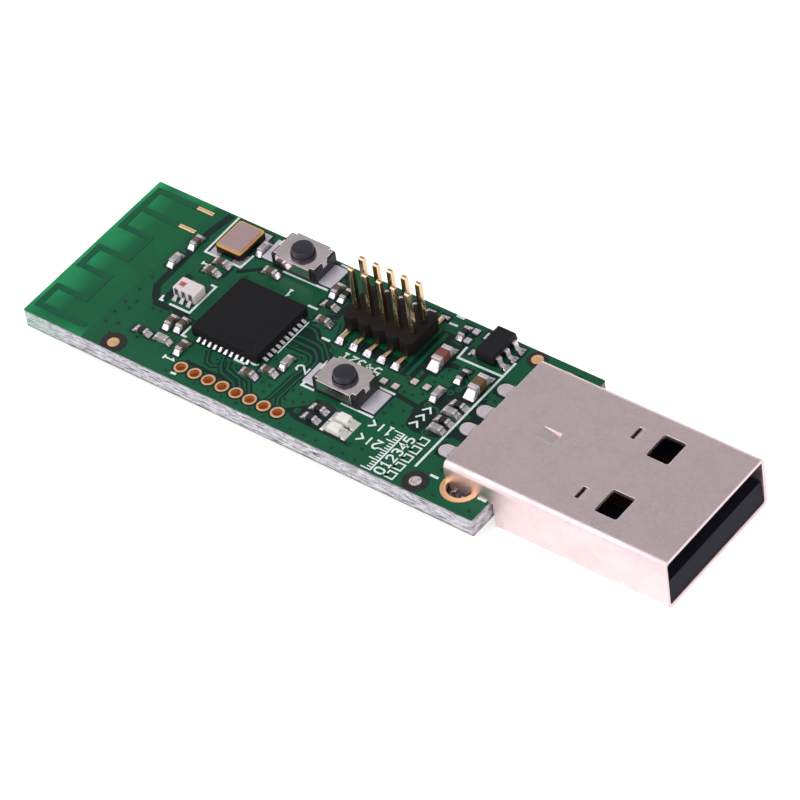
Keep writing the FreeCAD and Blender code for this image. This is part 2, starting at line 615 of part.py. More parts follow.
def make_board():
    """The glass fibre board, with its plated holes and leg holes drilled."""
    body = new_body("circuit_board", LEFT, "0", board_rise)
    plan = sketch_on(body, "XY_Plane", "board_plan")
    box_outline(plan, "0", f"-{board_width} / 2", board_length, f"{board_width} / 2")
    pad(body, plan, "board_pad", board_thickness)
    soften(body, "board_corners", board_corner, upright)
    drilled = sketch_on(body, "XY_Plane", "drilled_plan")
    circle(drilled, f"{board_length} / 2 + {hole_first}", HOLE_ROW, hole_bore)
    hole = pocket(body, drilled, "drilled_hole", board_thickness, backwards=True)
    repeat(body, hole, "drilled_row", "X_Axis", hole_pitch, hole_count)
    legs = sketch_on(body, "XY_Plane", "leg_hole_plan")
    for side in ("", "-"):
        circle(legs, LEG_ALONG, f"{side}{LEG_ACROSS}", f"{leg_hole} + {plating}")
    pocket(body, legs, "leg_holes", board_thickness, backwards=True)
    keep(body, "circuit_board")


def make_plating():
    """Copper rings of the hole row, and copper barrels of the two leg holes."""
    rings = []
    for index in range(hole_count):
        along = f"({MIDDLE} + {hole_first} + {index} * {hole_pitch})"
        rings.append(ring_of_copper(f"upper_ring_{index}", along, HOLE_ROW, TOP))
        rings.append(ring_of_copper(f"lower_ring_{index}", along, HOLE_ROW,
                                    f"{board_rise} - {plating}"))
    group("hole_rings", rings)
    barrels = []
    for index, side in enumerate(("", "-")):
        barrels.append(plated_barrel(f"leg_barrel_{index}", from_antenna(LEG_ALONG),
                                     f"{side}{LEG_ACROSS}", leg_hole, leg_ring))
    group("leg_hole_barrels", barrels)


def make_antenna():
    """The folded inverted-F antenna, one strip of copper on the board."""
    body = new_body("antenna_trace", LEFT, "0", TOP)
    sketch = sketch_on(body, "XY_Plane", "antenna_plan")
    half = f"{trace_width} / 2"
    outer_low = f"({antenna_inset} - {half})"
    outer_high = f"({antenna_inset} + {half})"
    inner_low = f"({antenna_inset} + {antenna_depth} - {half})"
    inner_high = f"({antenna_inset} + {antenna_depth} + {half})"
    step = f"({antenna_fold} + {antenna_space})"
    antenna_start = f"({NEAR_EDGE} + {antenna_open_inset})"
    right = [(antenna_tail, f"{antenna_start} - {half}")]
    left = []
    right.append((outer_low, f"{antenna_start} - {half}"))
    left.append((antenna_tail, f"{antenna_start} + {half}"))
    left.append((outer_high, f"{antenna_start} + {half}"))
    for fold in range(2):
        first = f"({antenna_start} + {antenna_fold} + {fold} * {step})"
        second = f"({antenna_start} + {antenna_fold} + {antenna_space} + {fold} * {step})"
        right.append((outer_low, f"{first} + {half}"))
        right.append((inner_low, f"{first} + {half}"))
        right.append((inner_low, f"{second} - {half}"))
        right.append((outer_low, f"{second} - {half}"))
        left.append((outer_high, f"{first} - {half}"))
        left.append((inner_high, f"{first} - {half}"))
        left.append((inner_high, f"{second} + {half}"))
        left.append((outer_high, f"{second} + {half}"))
    pad_end = f"({feed_pad_along} - {feed_pad_length} / 2)"
    right.append((outer_low, f"{GROUND_RUN} + {half}"))
    right.append((pad_end, f"{GROUND_RUN} + {half}"))
    right.append((pad_end, f"{GROUND_RUN} - {half}"))
    right.append((outer_high, f"{GROUND_RUN} - {half}"))
    right.append((outer_high, f"{FEED_RUN} + {half}"))
    right.append((pad_end, f"{FEED_RUN} + {half}"))
    right.append((pad_end, f"{FEED_RUN} - {half}"))
    right.append((outer_high, f"{FEED_RUN} - {half}"))
    outline(sketch, right + left[::-1])
    pad(body, sketch, "antenna_pad", trace_height)
    keep(body, "antenna_trace")


def make_bare_pads():
    """Gold antenna pads and alignment dots, and the tinned pads of parts left off."""
    gold = []
    for name, across in (("feed_pad", FEED_RUN), ("ground_pad", GROUND_RUN)):
        gold.append(block(name, FEED[0], across, TOP, feed_pad_length, feed_pad_width,
                          land_height))
    dots = (
        ("near_dot", from_antenna(dot_near_antenna_along),
         f"{NEAR_EDGE} + {dot_near_antenna_inset}"),
        ("near_plug_dot", f"{REAR_END} - {dot_near_plug_along}",
         f"{NEAR_EDGE} + {dot_near_plug_inset}"),
        ("far_plug_dot", f"{REAR_END} - {dot_far_plug_along}",
         f"{FAR_EDGE} - {dot_far_plug_inset}"),
    )
    for name, along, across in dots:
        gold.append(disc(name, along, across, TOP, dot_radius, land_height))
    group("gold_pads", gold)
    pairs = (
        ("regulator_pads", beside(REGULATOR, f"-{regulator_pads_along}", regulator_pads_across),
         regulator_pads_gap, CROSSWISE),
        ("input_pads", beside(REAR, f"-{input_pads_along}", input_pads_across),
         input_pads_gap, LENGTHWISE),
        ("switch_pads", beside(SECOND_SWITCH, switch_pads_along, switch_pads_across),
         switch_pads_gap, LENGTHWISE),
    )
    tinned = []
    for name, (along, across), gap, lengthwise in pairs:
        for number, sign in enumerate(("-", "+")):
            shift = f"{sign} {gap} / 2"
            place_along = f"{along} {shift}" if lengthwise else along
            place_across = across if lengthwise else f"{across} {shift}"
            tinned.append(block(f"{name}_{number}", place_along, place_across, TOP,
                                bare_pad_length, bare_pad_length, bare_pad_height))
    group("tinned_pads", tinned)


def make_shell():
    """The plug's folded shell: a tube with windows, a seam and two legs."""
    body = new_body("plug_shell", FRONT, "0", "0")
    half = f"{shell_width} / 2"
    outer = sketch_on(body, "YZ_Plane", "shell_outer")
    box_outline(outer, f"-{half}", "0", half, shell_height)
    pad(body, outer, "shell_tube", SHELL_LENGTH, backwards=True)
    soften(body, "shell_corners", shell_corner, lengthwise_edge)
    inner = sketch_on(body, "YZ_Plane", "shell_inner")
    box_outline(inner, f"-{half} + {shell_wall}", shell_wall,
                f"{half} - {shell_wall}", f"{shell_height} - {shell_wall}")
    pocket(body, inner, "shell_bore", SHELL_LENGTH)
    inside = sizes.shell_width / 2 - sizes.shell_wall
    soften(body, "shell_inner_corners", f"{shell_corner} - {shell_wall}",
           lambda a, b: lengthwise_edge(a, b) and same(abs(a.y), inside))
    slot = sketch_on(body, "XZ_Plane", "board_slot_plan")
    box_outline(slot, f"-{SHELL_LENGTH} - 1", "-1", SLOT_FRONT, SEAT)
    pocket(body, slot, "board_slot", f"{shell_width} + 2", symmetric=True)
    leg = sketch_on(body, "XZ_Plane", "leg_outline", f"{half} - {shell_wall}")
    middle = f"(-{SHELL_LENGTH} + {leg_setback})"
    tip = f"({board_rise} - {leg_poke})"
    root = f"({SEAT} + {shell_wall})"
    shoulder = f"({board_rise} + {shell_wall})"
    outline(leg, [
        (f"{middle} - {leg_width} / 2", root), (f"{middle} + {leg_width} / 2", root),
        (f"{middle} + {leg_width} / 2", shoulder), (f"{middle} + {leg_tip_width} / 2", tip),
        (f"{middle} - {leg_tip_width} / 2", tip), (f"{middle} - {leg_width} / 2", shoulder),
    ])
    legs = pad(body, leg, "near_leg", shell_wall)
    mirror(body, [legs], "both_legs", "XZ_Plane")
    cut_windows(body)
    cut_marks(body)
    return keep(body, "plug_shell")


def cut_windows(body):
    """Two square windows in the top and bottom of the shell."""
    plan = sketch_on(body, "XY_Plane", "window_plan", f"{shell_height} + 1")
    for side in ("", "-"):
        near = f"{side}({window_across} - {window_width} / 2)"
        far = f"{side}({window_across} + {window_width} / 2)"
        box_outline(plan, f"-{window_setback} - {window_length}", near,
                    f"-{window_setback}", far)
    pocket(body, plan, "windows", f"{shell_height} + 2")
    ends = (sizes.window_setback, sizes.window_setback + sizes.window_length)
    edges = (sizes.window_across - sizes.window_width / 2,
             sizes.window_across + sizes.window_width / 2)
    soften(body, "window_corners", window_corner, lambda a, b: (
        upright(a, b) and any(same(-a.x, end) for end in ends)
        and any(same(abs(a.y), edge) for edge in edges)))


def cut_marks(body):
    """Punched slits beside their ramps, the pressed barb and the seam with its dovetail."""
    plan = sketch_on(body, "XZ_Plane", "slit_section", slit_across)
    rear = f"(-{slit_setback} - {slit_length})"
    foot = f"({rear} + {slit_opening})"
    inside = f"({shell_height} - {shell_wall} * 1.3)"
    outline(plan, [
        (rear, shell_height), (f"-{slit_setback}", shell_height),
        (foot, f"{shell_height} - {slit_ramp}"), (foot, inside), (rear, inside),
    ])
    slit = pocket(body, plan, "near_slit", slit_width, symmetric=True)
    mirror(body, [slit], "both_slits", "XZ_Plane")
    barb = sketch_on(body, "XZ_Plane", "barb_section")
    outline(barb, [
        (f"-{barb_setback} - {barb_length}", shell_height), (f"-{barb_setback}", shell_height),
        (f"-{barb_setback}", f"{shell_height} - {barb_depth}"),
    ])
    pocket(body, barb, "barb", barb_width, symmetric=True)
    seam = sketch_on(body, "XY_Plane", "seam_plan")
    half = f"{seam_gap} / 2"
    middle = f"-{seam_key_centre}"
    reach = f"{seam_key_length} / 2"
    neck = f"{seam_key_length} / 3"
    outline(seam, [
        (f"-{plug_reach} - 1", f"-{half}"), (f"{middle} - {neck} - {half}", f"-{half}"),
        (f"{middle} - {reach} - {half}", f"{seam_key} + {half}"),
        (f"{middle} + {reach} + {half}", f"{seam_key} + {half}"),
        (f"{middle} + {neck} + {half}", f"-{half}"), ("1", f"-{half}"), ("1", half),
        (f"{middle} + {neck} + {half} + {seam_gap}", half),
        (f"{middle} + {reach} + {half} + 1.4 * {seam_gap}", f"{seam_key} + {half} + {seam_gap}"),
        (f"{middle} - {reach} - {half} - 1.4 * {seam_gap}", f"{seam_key} + {half} + {seam_gap}"),
        (f"{middle} - {neck} - {half} - {seam_gap}", half), (f"-{plug_reach} - 1", half),
    ])
    pocket(body, seam, "seam", f"{shell_wall} * 1.5", backwards=True)


def make_contacts():
    """Four sprung contacts: a blade on the tongue, a step and a tail on the board."""
    blade_top = f"({tongue_top} + {contact_proud})"
    blade_under = f"({blade_top} - {contact_thickness})"
    tail_under = SEAT
    tail_top = f"({tail_under} + {contact_thickness})"
    rear = f"(-{SHELL_LENGTH} - {tail_reach})"
    knee = f"(-{block_setback} - {contact_bend})"
    contacts = []
    rows = (("power_contact", "", contact_outer, contact_long_setback),
            ("data_minus_contact", "", contact_inner, contact_short_setback),
            ("data_plus_contact", "-", contact_inner, contact_short_setback),
            ("ground_contact", "-", contact_outer, contact_long_setback))
    for name, side, across, setback in rows:
        body = new_body(name, FRONT, f"{side}{across}", "0")
        sketch = sketch_on(body, "XZ_Plane", f"{name}_profile")
        outline(sketch, [
            (rear, tail_under), (knee, tail_under), (f"-{block_setback}", blade_under),
            (f"-{setback}", blade_under), (f"-{setback}", blade_top),
            (f"-{block_setback}", blade_top), (knee, tail_top), (rear, tail_top),
        ])
        pad(body, sketch, f"{name}_strip", contact_width, symmetric=True)
        contacts.append(keep(body, name))
    return contacts


def make_insulator(contacts):
    """The moulded tongue and block, with the contacts let into it."""
    body = new_body("insulator_moulding", FRONT, "0", "0")
    sketch = sketch_on(body, "XZ_Plane", "insulator_profile")
    rear = f"(-{SHELL_LENGTH} + {block_overhang})"
    step = f"({SLOT_FRONT} + {fit_gap})"
    outline(sketch, [
        (rear, SEAT), (step, SEAT), (step, FLOOR), (f"-{tongue_setback}", FLOOR),
        (f"-{tongue_setback}", tongue_lip),
        (f"-{tongue_setback} - {tongue_slope}", tongue_top),
        (f"-{block_setback}", tongue_top), (f"-{block_setback}", INNER_TOP), (rear, INNER_TOP),
    ])
    pad(body, sketch, "insulator_pad", INNER_WIDTH, symmetric=True)
    low = sizes.shell_wall + sizes.fit_gap
    high = sizes.shell_height - low
    soften(body, "insulator_corners", f"{shell_corner} - {shell_wall}", lambda a, b: (
        lengthwise_edge(a, b) and (same(a.z, low) or same(a.z, high))))
    tools = doc.addObject("Part::Compound", "contact_channels")
    tools.Links = contacts
    keep(cut("plug_insulator", body, tools), "plug_insulator")


def make_plug_solder(shell):
    """Solder on the contact tails and round the shell's legs."""
    joints = []
    places = ((contact_outer, ""), (contact_inner, ""), (contact_inner, "-"), (contact_outer, "-"))
    tail_end = f"({REAR_END} - {tail_reach})"
    radius = f"{tail_solder_width} / 2"
    straight = f"({tail_solder_reach} - {radius})"
    for index, (across, side) in enumerate(places):
        name = f"tail_solder_{index}"
        middle = f"{side}{across}"
        toe = disc(f"{name}_toe", f"{tail_end} - {straight}", middle, TOP, radius,
                   bare_pad_height)
        flat = block(f"{name}_flat", f"{tail_end} - {straight} / 2", middle, TOP, straight,
                     tail_solder_width, bare_pad_height)
        land = block(f"{name}_land", f"{tail_end} + {tail_land} / 2", middle, TOP, tail_land,
                     tail_solder_width, plating)
        joint = doc.addObject("Part::MultiFuse", name)
        joint.Shapes = [toe, flat, land]
        joint.Refine = True
        joints.append(joint)
    group("tail_solder", joints)
    plugs = []
    for index, side in enumerate(("", "-")):
        across = f"{side}{LEG_ACROSS}"
        along = from_antenna(LEG_ALONG)
        level = f"({board_rise} - {plating})"
        fill = disc(f"leg_fill_{index}", along, across, level, leg_hole,
                    f"{board_thickness} + {plating} - {leg_solder_drop}")
        cone = doc.addObject("Part::Cone", f"leg_cone_{index}")
        cone.setExpression("Radius1", f"{leg_tip_width} / 2")
        cone.setExpression("Radius2", leg_hole)
        cone.setExpression("Height", leg_solder_cone)
        place(cone, along, across, f"{level} - {leg_solder_cone}")
        whole = doc.addObject("Part::MultiFuse", f"leg_solder_whole_{index}")
        whole.Shapes = [fill, cone]
        plugs.append(cut(f"leg_solder_{index}", whole, shell))
    group("leg_solder", plugs)


def make_radio_chip():
    """A flat moulded chip with ten leads along each side and a ground slug."""
    along, middle = CHIP
    half = f"{chip_side} / 2"
    leads = [block("ground_slug", along, middle, TOP, slug_side, slug_side, lead_height)]
    solder = []
    for index in range(chip_lead_count):
        offset = f"({index} - {chip_lead_count - 1} / 2) * {lead_pitch}"
        inset = f"({half} - {lead_depth} / 2)"
        for side, sign, facing in (("plug", "+", 0), ("antenna", "-", 180)):
            name = f"lead_{side}_{index}"
            across = f"{middle} + {offset}"
            leads.append(block(name, f"{along} {sign} {inset}", across, TOP,
                               lead_depth, lead_width, lead_height))
            solder.append(fillet_of_solder(f"{name}_solder", f"{along} {sign} {half}", across,
                                           facing, lead_width, lead_height, lead_solder_reach))
        for side, sign, facing in (("far", "+", 90), ("near", "-", 270)):
            name = f"lead_{side}_{index}"
            lead_along = f"{along} + {offset}"
            leads.append(block(name, lead_along, f"{middle} {sign} {inset}", TOP,
                               lead_width, lead_depth, lead_height))
            solder.append(fillet_of_solder(f"{name}_solder", lead_along,
                                           f"{middle} {sign} {half}", facing,
                                           lead_width, lead_height, lead_solder_reach))
    metal = group("radio_chip_leads", leads)
    group("radio_chip_solder", solder)
    body = new_body("radio_chip_moulding", along, middle, f"{TOP} + {chip_standoff}")
    plan = sketch_on(body, "XY_Plane", "radio_chip_plan")
    box_outline(plan, f"-{half}", f"-{half}", half, half)
    pad(body, plan, "radio_chip_pad", chip_height)
    mark = sketch_on(body, "XY_Plane", "first_lead_mark", chip_height)
    corner = f"({half} - {chip_dimple_inset})"
    circle(mark, corner, f"-{corner}", chip_dimple)
    pocket(body, mark, "first_lead_dimple", chip_dimple_depth)
    keep(cut("radio_chip_body", body, metal), "radio_chip_body")


def make_crystal():
    """A ceramic crystal package: notched base, gold seal ring, metal lid and pads."""
    along, across = CRYSTAL
    half_length = f"{crystal_length} / 2"
    half_width = f"{crystal_width} / 2"
    base_level = f"({TOP} + {land_height})"
    body = new_body("crystal_base", along, across, base_level)
    plan = sketch_on(body, "XY_Plane", "crystal_base_plan")
    box_outline(plan, f"-{half_length}", f"-{half_width}", half_length, half_width)
    pad(body, plan, "crystal_base_pad", crystal_base_height)
    notches = sketch_on(body, "XY_Plane", "crystal_notch_plan")
    for x_side in ("", "-"):
        for y_side in ("", "-"):
            circle(notches, f"{x_side}{half_length}", f"{y_side}{half_width}", crystal_notch)
    pocket(body, notches, "crystal_notches", crystal_base_height, backwards=True)
    keep(body, "crystal_base")
    ring_level = f"({base_level} + {crystal_base_height})"
    ring_length = f"({crystal_length} - 2 * {crystal_ring_inset})"
    ring_width = f"({crystal_width} - 2 * {crystal_ring_inset})"
    for name, length, width, level, height in (
            ("crystal_seal_ring", ring_length, ring_width, ring_level, crystal_ring_height),
            ("crystal_lid", f"({ring_length} - 2 * {crystal_lid_inset})",
             f"({ring_width} - 2 * {crystal_lid_inset})",
             f"{ring_level} + {crystal_ring_height}", crystal_lid_height)):
        plate = new_body(name, along, across, level)
        plan = sketch_on(plate, "XY_Plane", f"{name}_plan")
        box_outline(plan, f"-{length} / 2", f"-{width} / 2", f"{length} / 2", f"{width} / 2")
        pad(plate, plan, f"{name}_pad", height)
        soften(plate, f"{name}_corners", crystal_notch, upright)
        keep(plate, name)
    pads = []
    for index, (x_sign, y_sign) in enumerate((("+", "+"), ("-", "+"), ("-", "-"), ("+", "-"))):
        x_mid = f"({half_length} + {crystal_pad_out} - {crystal_pad_length} / 2)"
        y_mid = f"({half_width} + {crystal_pad_out} - {crystal_pad_width} / 2)"
        pads.append(block(f"crystal_pad_{index}", f"{along} {x_sign} {x_mid}",
                          f"{across} {y_sign} {y_mid}", TOP,
                          crystal_pad_length, crystal_pad_width, land_height))
    group("crystal_pads", pads)


def make_switch(name, anchor):
    """A push switch: housing, sheet cover, button, snap dome and two terminals."""
    along, across = anchor
    stand = (along, across, TOP)
    terminals = []
    terminal_length = f"({terminal_outer} - {terminal_inner})"
    terminal_mid = f"({terminal_outer} + {terminal_inner}) / 2"
    for sign, side in (("+", "plug"), ("-", "antenna")):
        terminals.append(block(f"{name}_terminal_{side}", f"{along} {sign} {terminal_mid}",
                               across, TOP, terminal_length, terminal_width,
                               terminal_sheet))
    metal = group(f"{name}_terminals", terminals)

    cover = new_body(f"{name}_cover", *stand)
    fold = sketch_on(cover, "YZ_Plane", f"{name}_cover_fold")
    inside = f"{switch_width} / 2"
    outside = f"({switch_width} / 2 + {cover_sheet})"
    hem = f"({COVER_LEVEL} - {cover_skirt})"
    outline(fold, [
        (f"-{outside}", hem), (f"-{inside}", hem), (f"-{inside}", housing_height),
        (inside, housing_height), (inside, hem), (outside, hem),
        (outside, COVER_LEVEL), (f"-{outside}", COVER_LEVEL),
    ])
    pad(cover, fold, f"{name}_cover_sheet", cover_length, symmetric=True)
    notches = sketch_on(cover, "XY_Plane", f"{name}_cover_notch_plan", f"{COVER_LEVEL} + 1")
    for x_side in ("", "-"):
        for y_side in ("", "-"):
            box_outline(notches, f"{x_side}({cover_length} / 2 - {cover_notch_length})",
                        f"{y_side}({outside} - {cover_notch_width})",
                        f"{x_side}({cover_length} / 2 + 1)", f"{y_side}({outside} + 1)")
    circle(notches, "0", "0", f"{stem_radius} + {stem_clearance}")
    pocket(cover, notches, f"{name}_cover_notches", f"{COVER_LEVEL} + 2")
    hook = sketch_on(cover, "YZ_Plane", f"{name}_hook_outline", f"{cover_length} / 2")
    box_outline(hook, f"-{hook_width} / 2", f"{COVER_LEVEL} - {hook_depth}",
                f"{hook_width} / 2", COVER_LEVEL)
    hooks = pad(cover, hook, f"{name}_hook", cover_sheet)
    mirror(cover, [hooks], f"{name}_hooks", "YZ_Plane")
    keep(cover, f"{name}_cover")

    housing = new_body(f"{name}_moulding", *stand)
    plan = sketch_on(housing, "XY_Plane", f"{name}_housing_plan")
    box_outline(plan, f"-{switch_length} / 2", f"-{inside}", f"{switch_length} / 2", inside)
    pad(housing, plan, f"{name}_housing_pad", housing_height)
    soften(housing, f"{name}_housing_corners", cover_sheet, upright)
    well = sketch_on(housing, "XY_Plane", f"{name}_well_plan", housing_height)
    circle(well, "0", "0", well_radius)
    pocket(housing, well, f"{name}_well", f"{housing_height} - {well_floor}")
    seats = sketch_on(housing, "XY_Plane", f"{name}_hook_seat_plan", housing_height)
    for side in ("", "-"):
        box_outline(seats, f"{side}({cover_length} / 2)", f"-{hook_width} / 2",
                    f"{side}({switch_length} / 2 + 1)", f"{hook_width} / 2")
    pocket(housing, seats, f"{name}_hook_seats", f"{hook_depth} - {cover_sheet}")
    keep(cut(f"{name}_housing", housing, metal), f"{name}_housing")

    button = new_body(f"{name}_button", *stand)
    profile = sketch_on(button, "XZ_Plane", f"{name}_button_profile")
    top = f"({COVER_LEVEL} + {stem_height})"
    flange_top = f"({housing_height} - {running_gap})"
    flange_under = f"({flange_top} - {flange_thickness})"
    nub_under = f"({well_floor} + {dome_rise} + {running_gap})"
    outline(profile, [
        ("0", nub_under), (nub_radius, nub_under), (nub_radius, flange_under),
        (flange_radius, flange_under), (flange_radius, flange_top), (stem_radius, flange_top),
        (stem_radius, f"{top} - {stem_edge}"), (f"{stem_radius} - {stem_edge}", top), ("0", top),
    ])
    turn(button, profile, f"{name}_button_turned")
    keep(button, f"{name}_button")

    dome = new_body(f"{name}_dome", *stand)
    arch = sketch_on(dome, "XZ_Plane", f"{name}_dome_profile")
    crown = f"({well_floor} + {dome_rise})"
    outline(arch, [
        (dome_radius, well_floor), (f"{dome_radius} * 0.72", f"{crown} - {dome_rise} * 0.36"),
        (f"{dome_radius} * 0.36", f"{crown} - {dome_rise} * 0.06"), ("0", crown),
        ("0", f"{crown} - {dome_sheet}"),
        (f"{dome_radius} * 0.36", f"{crown} - {dome_rise} * 0.06 - {dome_sheet}"),
        (f"{dome_radius} * 0.72 - {dome_sheet}", f"{crown} - {dome_rise} * 0.36 - {dome_sheet}"),
        (f"{dome_radius} - 2 * {dome_sheet}", well_floor),
    ])
    turn(dome, arch, f"{name}_dome_turned")
    keep(dome, f"{name}_dome")


def make_header():
    """A two row header: lobed body and ten square pins with feet on the board."""
    pins = new_body("header_pins", *HEADER, TOP)
    pins.AllowCompound = True
    first = f"-({pin_column_count - 1} / 2 * {pin_pitch})"
    profile = sketch_on(pins, "YZ_Plane", "pin_profile", first)
    near = f"({pin_pitch} / 2 - {pin_side} / 2)"
    far = f"({pin_pitch} / 2 + {pin_side} / 2)"
    outline(profile, [
        (near, "0"), (foot_end, "0"), (foot_end, foot_height), (far, foot_height),
        (far, f"{pin_top} - {pin_taper}"), (f"{far} - {pin_taper}", pin_top),
        (f"{near} + {pin_taper}", pin_top), (near, f"{pin_top} - {pin_taper}"),
    ])
    far_pin = pad(pins, profile, "far_pin", pin_side, symmetric=True)
    other = sketch_on(pins, "YZ_Plane", "near_pin_profile", first)
    outline(other, [
        (f"-{near}", "0"), (f"-{foot_end}", "0"), (f"-{foot_end}", foot_height),
        (f"-{far}", foot_height), (f"-{far}", f"{pin_top} - {pin_taper}"),
        (f"-{far} + {pin_taper}", pin_top), (f"-{near} - {pin_taper}", pin_top),
        (f"-{near}", f"{pin_top} - {pin_taper}"),
    ])
    near_pin = pad(pins, other, "near_pin", pin_side, symmetric=True)
    doc.recompute()
    pattern = repeat(pins, far_pin, "pin_columns", "X_Axis", pin_pitch, pin_column_count)
    pattern.Originals = [far_pin, near_pin]
    keep(pins, "header_pins")

    lobes = new_body("header_lobes", *HEADER,
                     f"{TOP} + {header_standoff}")
    plan = sketch_on(lobes, "XY_Plane", "lobe_plan")
    low = f"({first} - {pin_pitch} / 2)"
    high = f"({first} + {pin_pitch} / 2)"
    side = f"{header_width} / 2"
    outline(plan, [
        (low, f"-{side} + {header_chamfer}"), (f"{low} + {header_chamfer}", f"-{side}"),
        (f"{high} - {header_chamfer}", f"-{side}"), (high, f"-{side} + {header_chamfer}"),
        (high, f"{side} - {header_chamfer}"), (f"{high} - {header_chamfer}", side),
        (f"{low} + {header_chamfer}", side), (low, f"{side} - {header_chamfer}"),
    ])
    lobe = pad(lobes, plan, "lobe", header_height)
    doc.recompute()
    repeat(lobes, lobe, "lobe_row", "X_Axis", pin_pitch, pin_column_count)
    keep(cut("header_body", lobes, pins), "header_body")


def make_regulator():
    """A five lead regulator with drafted sides and gull wing leads."""
    along, across = REGULATOR
    leads = new_body("regulator_leads", along, across, TOP)
    leads.AllowCompound = True
    features = []
    root = f"({regulator_length} / 2 - {gull_reach} / 2)"
    knee = f"({regulator_length} / 2 + {gull_knee})"
    end = f"({regulator_length} / 2 + {gull_reach})"
    upper = f"({gull_level} + {gull_sheet})"
    for side, sign, places in (("plug", "", (-1, 0, 1)), ("antenna", "-", (-1, 1))):
        for order in places:
            name = f"gull_{side}_{order + 1}"
            sketch = sketch_on(leads, "XZ_Plane", f"{name}_profile", f"{-order} * {gull_pitch}")
            outline(sketch, [
                (f"{sign}{root}", gull_level), (f"{sign}({knee} - {gull_sheet})", gull_level),
                (f"{sign}{knee}", "0"), (f"{sign}{end}", "0"), (f"{sign}{end}", gull_sheet),
                (f"{sign}({knee} + {gull_sheet})", gull_sheet), (f"{sign}{knee}", upper),
                (f"{sign}{root}", upper),
            ])
            features.append(pad(leads, sketch, name, gull_width, symmetric=True))
            doc.recompute()
    keep(leads, "regulator_leads")
    body = new_body("regulator_moulding", along, across,
                    f"{TOP} + {regulator_standoff} + {regulator_height} / 2")
    for side, backwards in (("upper", False), ("lower", True)):
        plan = sketch_on(body, "XY_Plane", f"regulator_{side}_plan")
        box_outline(plan, f"-{regulator_length} / 2", f"-{regulator_width} / 2",
                    f"{regulator_length} / 2", f"{regulator_width} / 2")
        feature = pad(body, plan, f"regulator_{side}", f"{regulator_height} / 2",
                      backwards=backwards)
        feature.setExpression("TaperAngle", f"-{regulator_draft}")
        doc.recompute()
    keep(cut("regulator_body", body, leads), "regulator_body")


def make_balun():
    """A ceramic balun with three terminals wrapped up each long side."""
    along, across = beside(CHIP, f"-{balun_along}", balun_across)
    half = f"{balun_width} / 2"
    keep(block("balun_body", along, across, TOP, balun_length, balun_width, balun_height),
         "balun_body")
    strips = []
    for index in (-1, 0, 1):
        strip_along = f"{along} + {index} * {balun_terminal_pitch}"
        for side, sign, facing in (("far", "+", 90), ("near", "-", 270)):
            name = f"balun_terminal_{side}_{index + 1}"
            strips.append(block(name, strip_along,
                                f"{across} {sign} ({half} + {balun_terminal_sheet} / 2)",
                                TOP, balun_terminal_width, balun_terminal_sheet, balun_height))
            strips.append(fillet_of_solder(f"{name}_solder", strip_along,
                                           f"{across} {sign} ({half} + {balun_terminal_sheet})",
                                           facing, balun_terminal_width,
                                           f"{balun_height} / 3", balun_foot))
    group("balun_terminals", strips)


def make_lights():
    """Two lights: white base, clear moulded lens and plated ends."""
    bases = []
    lenses = []
    ends = []
    along, lower = LIGHT
    base_length = f"({led_length} - 2 * {led_cap_length})"
    for name, across in (("light_one", f"({lower} + {led_pitch})"), ("light_two", lower)):
        bases.append(block(f"{name}_base", along, across, TOP, base_length, led_width,
                           led_base_height))
        lens = doc.addObject("Part::Wedge", f"{name}_lens")
        lens.Placement = Placement(Vector(0, 0, 0), Rotation(Vector(1, 0, 0), 90))
        for low, high, reach, share in (("Xmin", "Xmax", led_lens_length, 1),
                                        ("X2min", "X2max", led_lens_length, 0.84),
                                        ("Zmin", "Zmax", led_width, 1),
                                        ("Z2min", "Z2max", led_width, 0.84)):
            lens.setExpression(low, f"-{share} * {reach} / 2")
            lens.setExpression(high, f"{share} * {reach} / 2")
        lens.Ymin = 0
        lens.setExpression("Ymax", led_lens_height)
        lenses.append(place(lens, along, across, f"{TOP} + {led_base_height}"))
        for sign, facing in (("+", 0), ("-", 180)):
            ends.append(block(f"{name}_end_{facing}",
                              f"{along} {sign} ({led_length} - {led_cap_length}) / 2", across,
                              TOP, led_cap_length, led_width, led_base_height))
            ends.append(fillet_of_solder(f"{name}_solder_{facing}",
                                         f"{along} {sign} {led_length} / 2", across, facing,
                                         led_width, led_base_height, joint_reach))
    group("led_bases", bases)
    group("led_lenses", lenses)
    group("led_terminals", ends)


def two_ended_part(name, spot, length, width, height, cap, reach, lengthwise):
    """Body, two plated ends and two ramps of solder of a small part."""
    middle, across = spot
    body_length = f"({length} - 2 * {cap})"
    if lengthwise:
        body = block(f"{name}_body", middle, across, TOP, body_length, width, height)
    else:
        body = block(f"{name}_body", middle, across, TOP, width, body_length, height)
    caps = []
    solder = []
    for sign, turned in (("+", 0), ("-", 180)):
        shift = f"{sign} ({length} - {cap}) / 2"
        edge = f"{sign} {length} / 2"
        label = f"{name}_{turned}"
        if lengthwise:
            caps.append(block(f"{label}_cap", f"{middle} {shift}", across, TOP,
                              cap, width, height))
            foot = (f"{middle} {edge}", across, turned)
        else:
            caps.append(block(f"{label}_cap", middle, f"{across} {shift}", TOP,
                              width, cap, height))
            foot = (middle, f"{across} {edge}", turned + 90)
        solder.append(fillet_of_solder(f"{label}_solder", *foot, width, f"{height} * 0.7",
                                       reach))
    return body, caps, solder


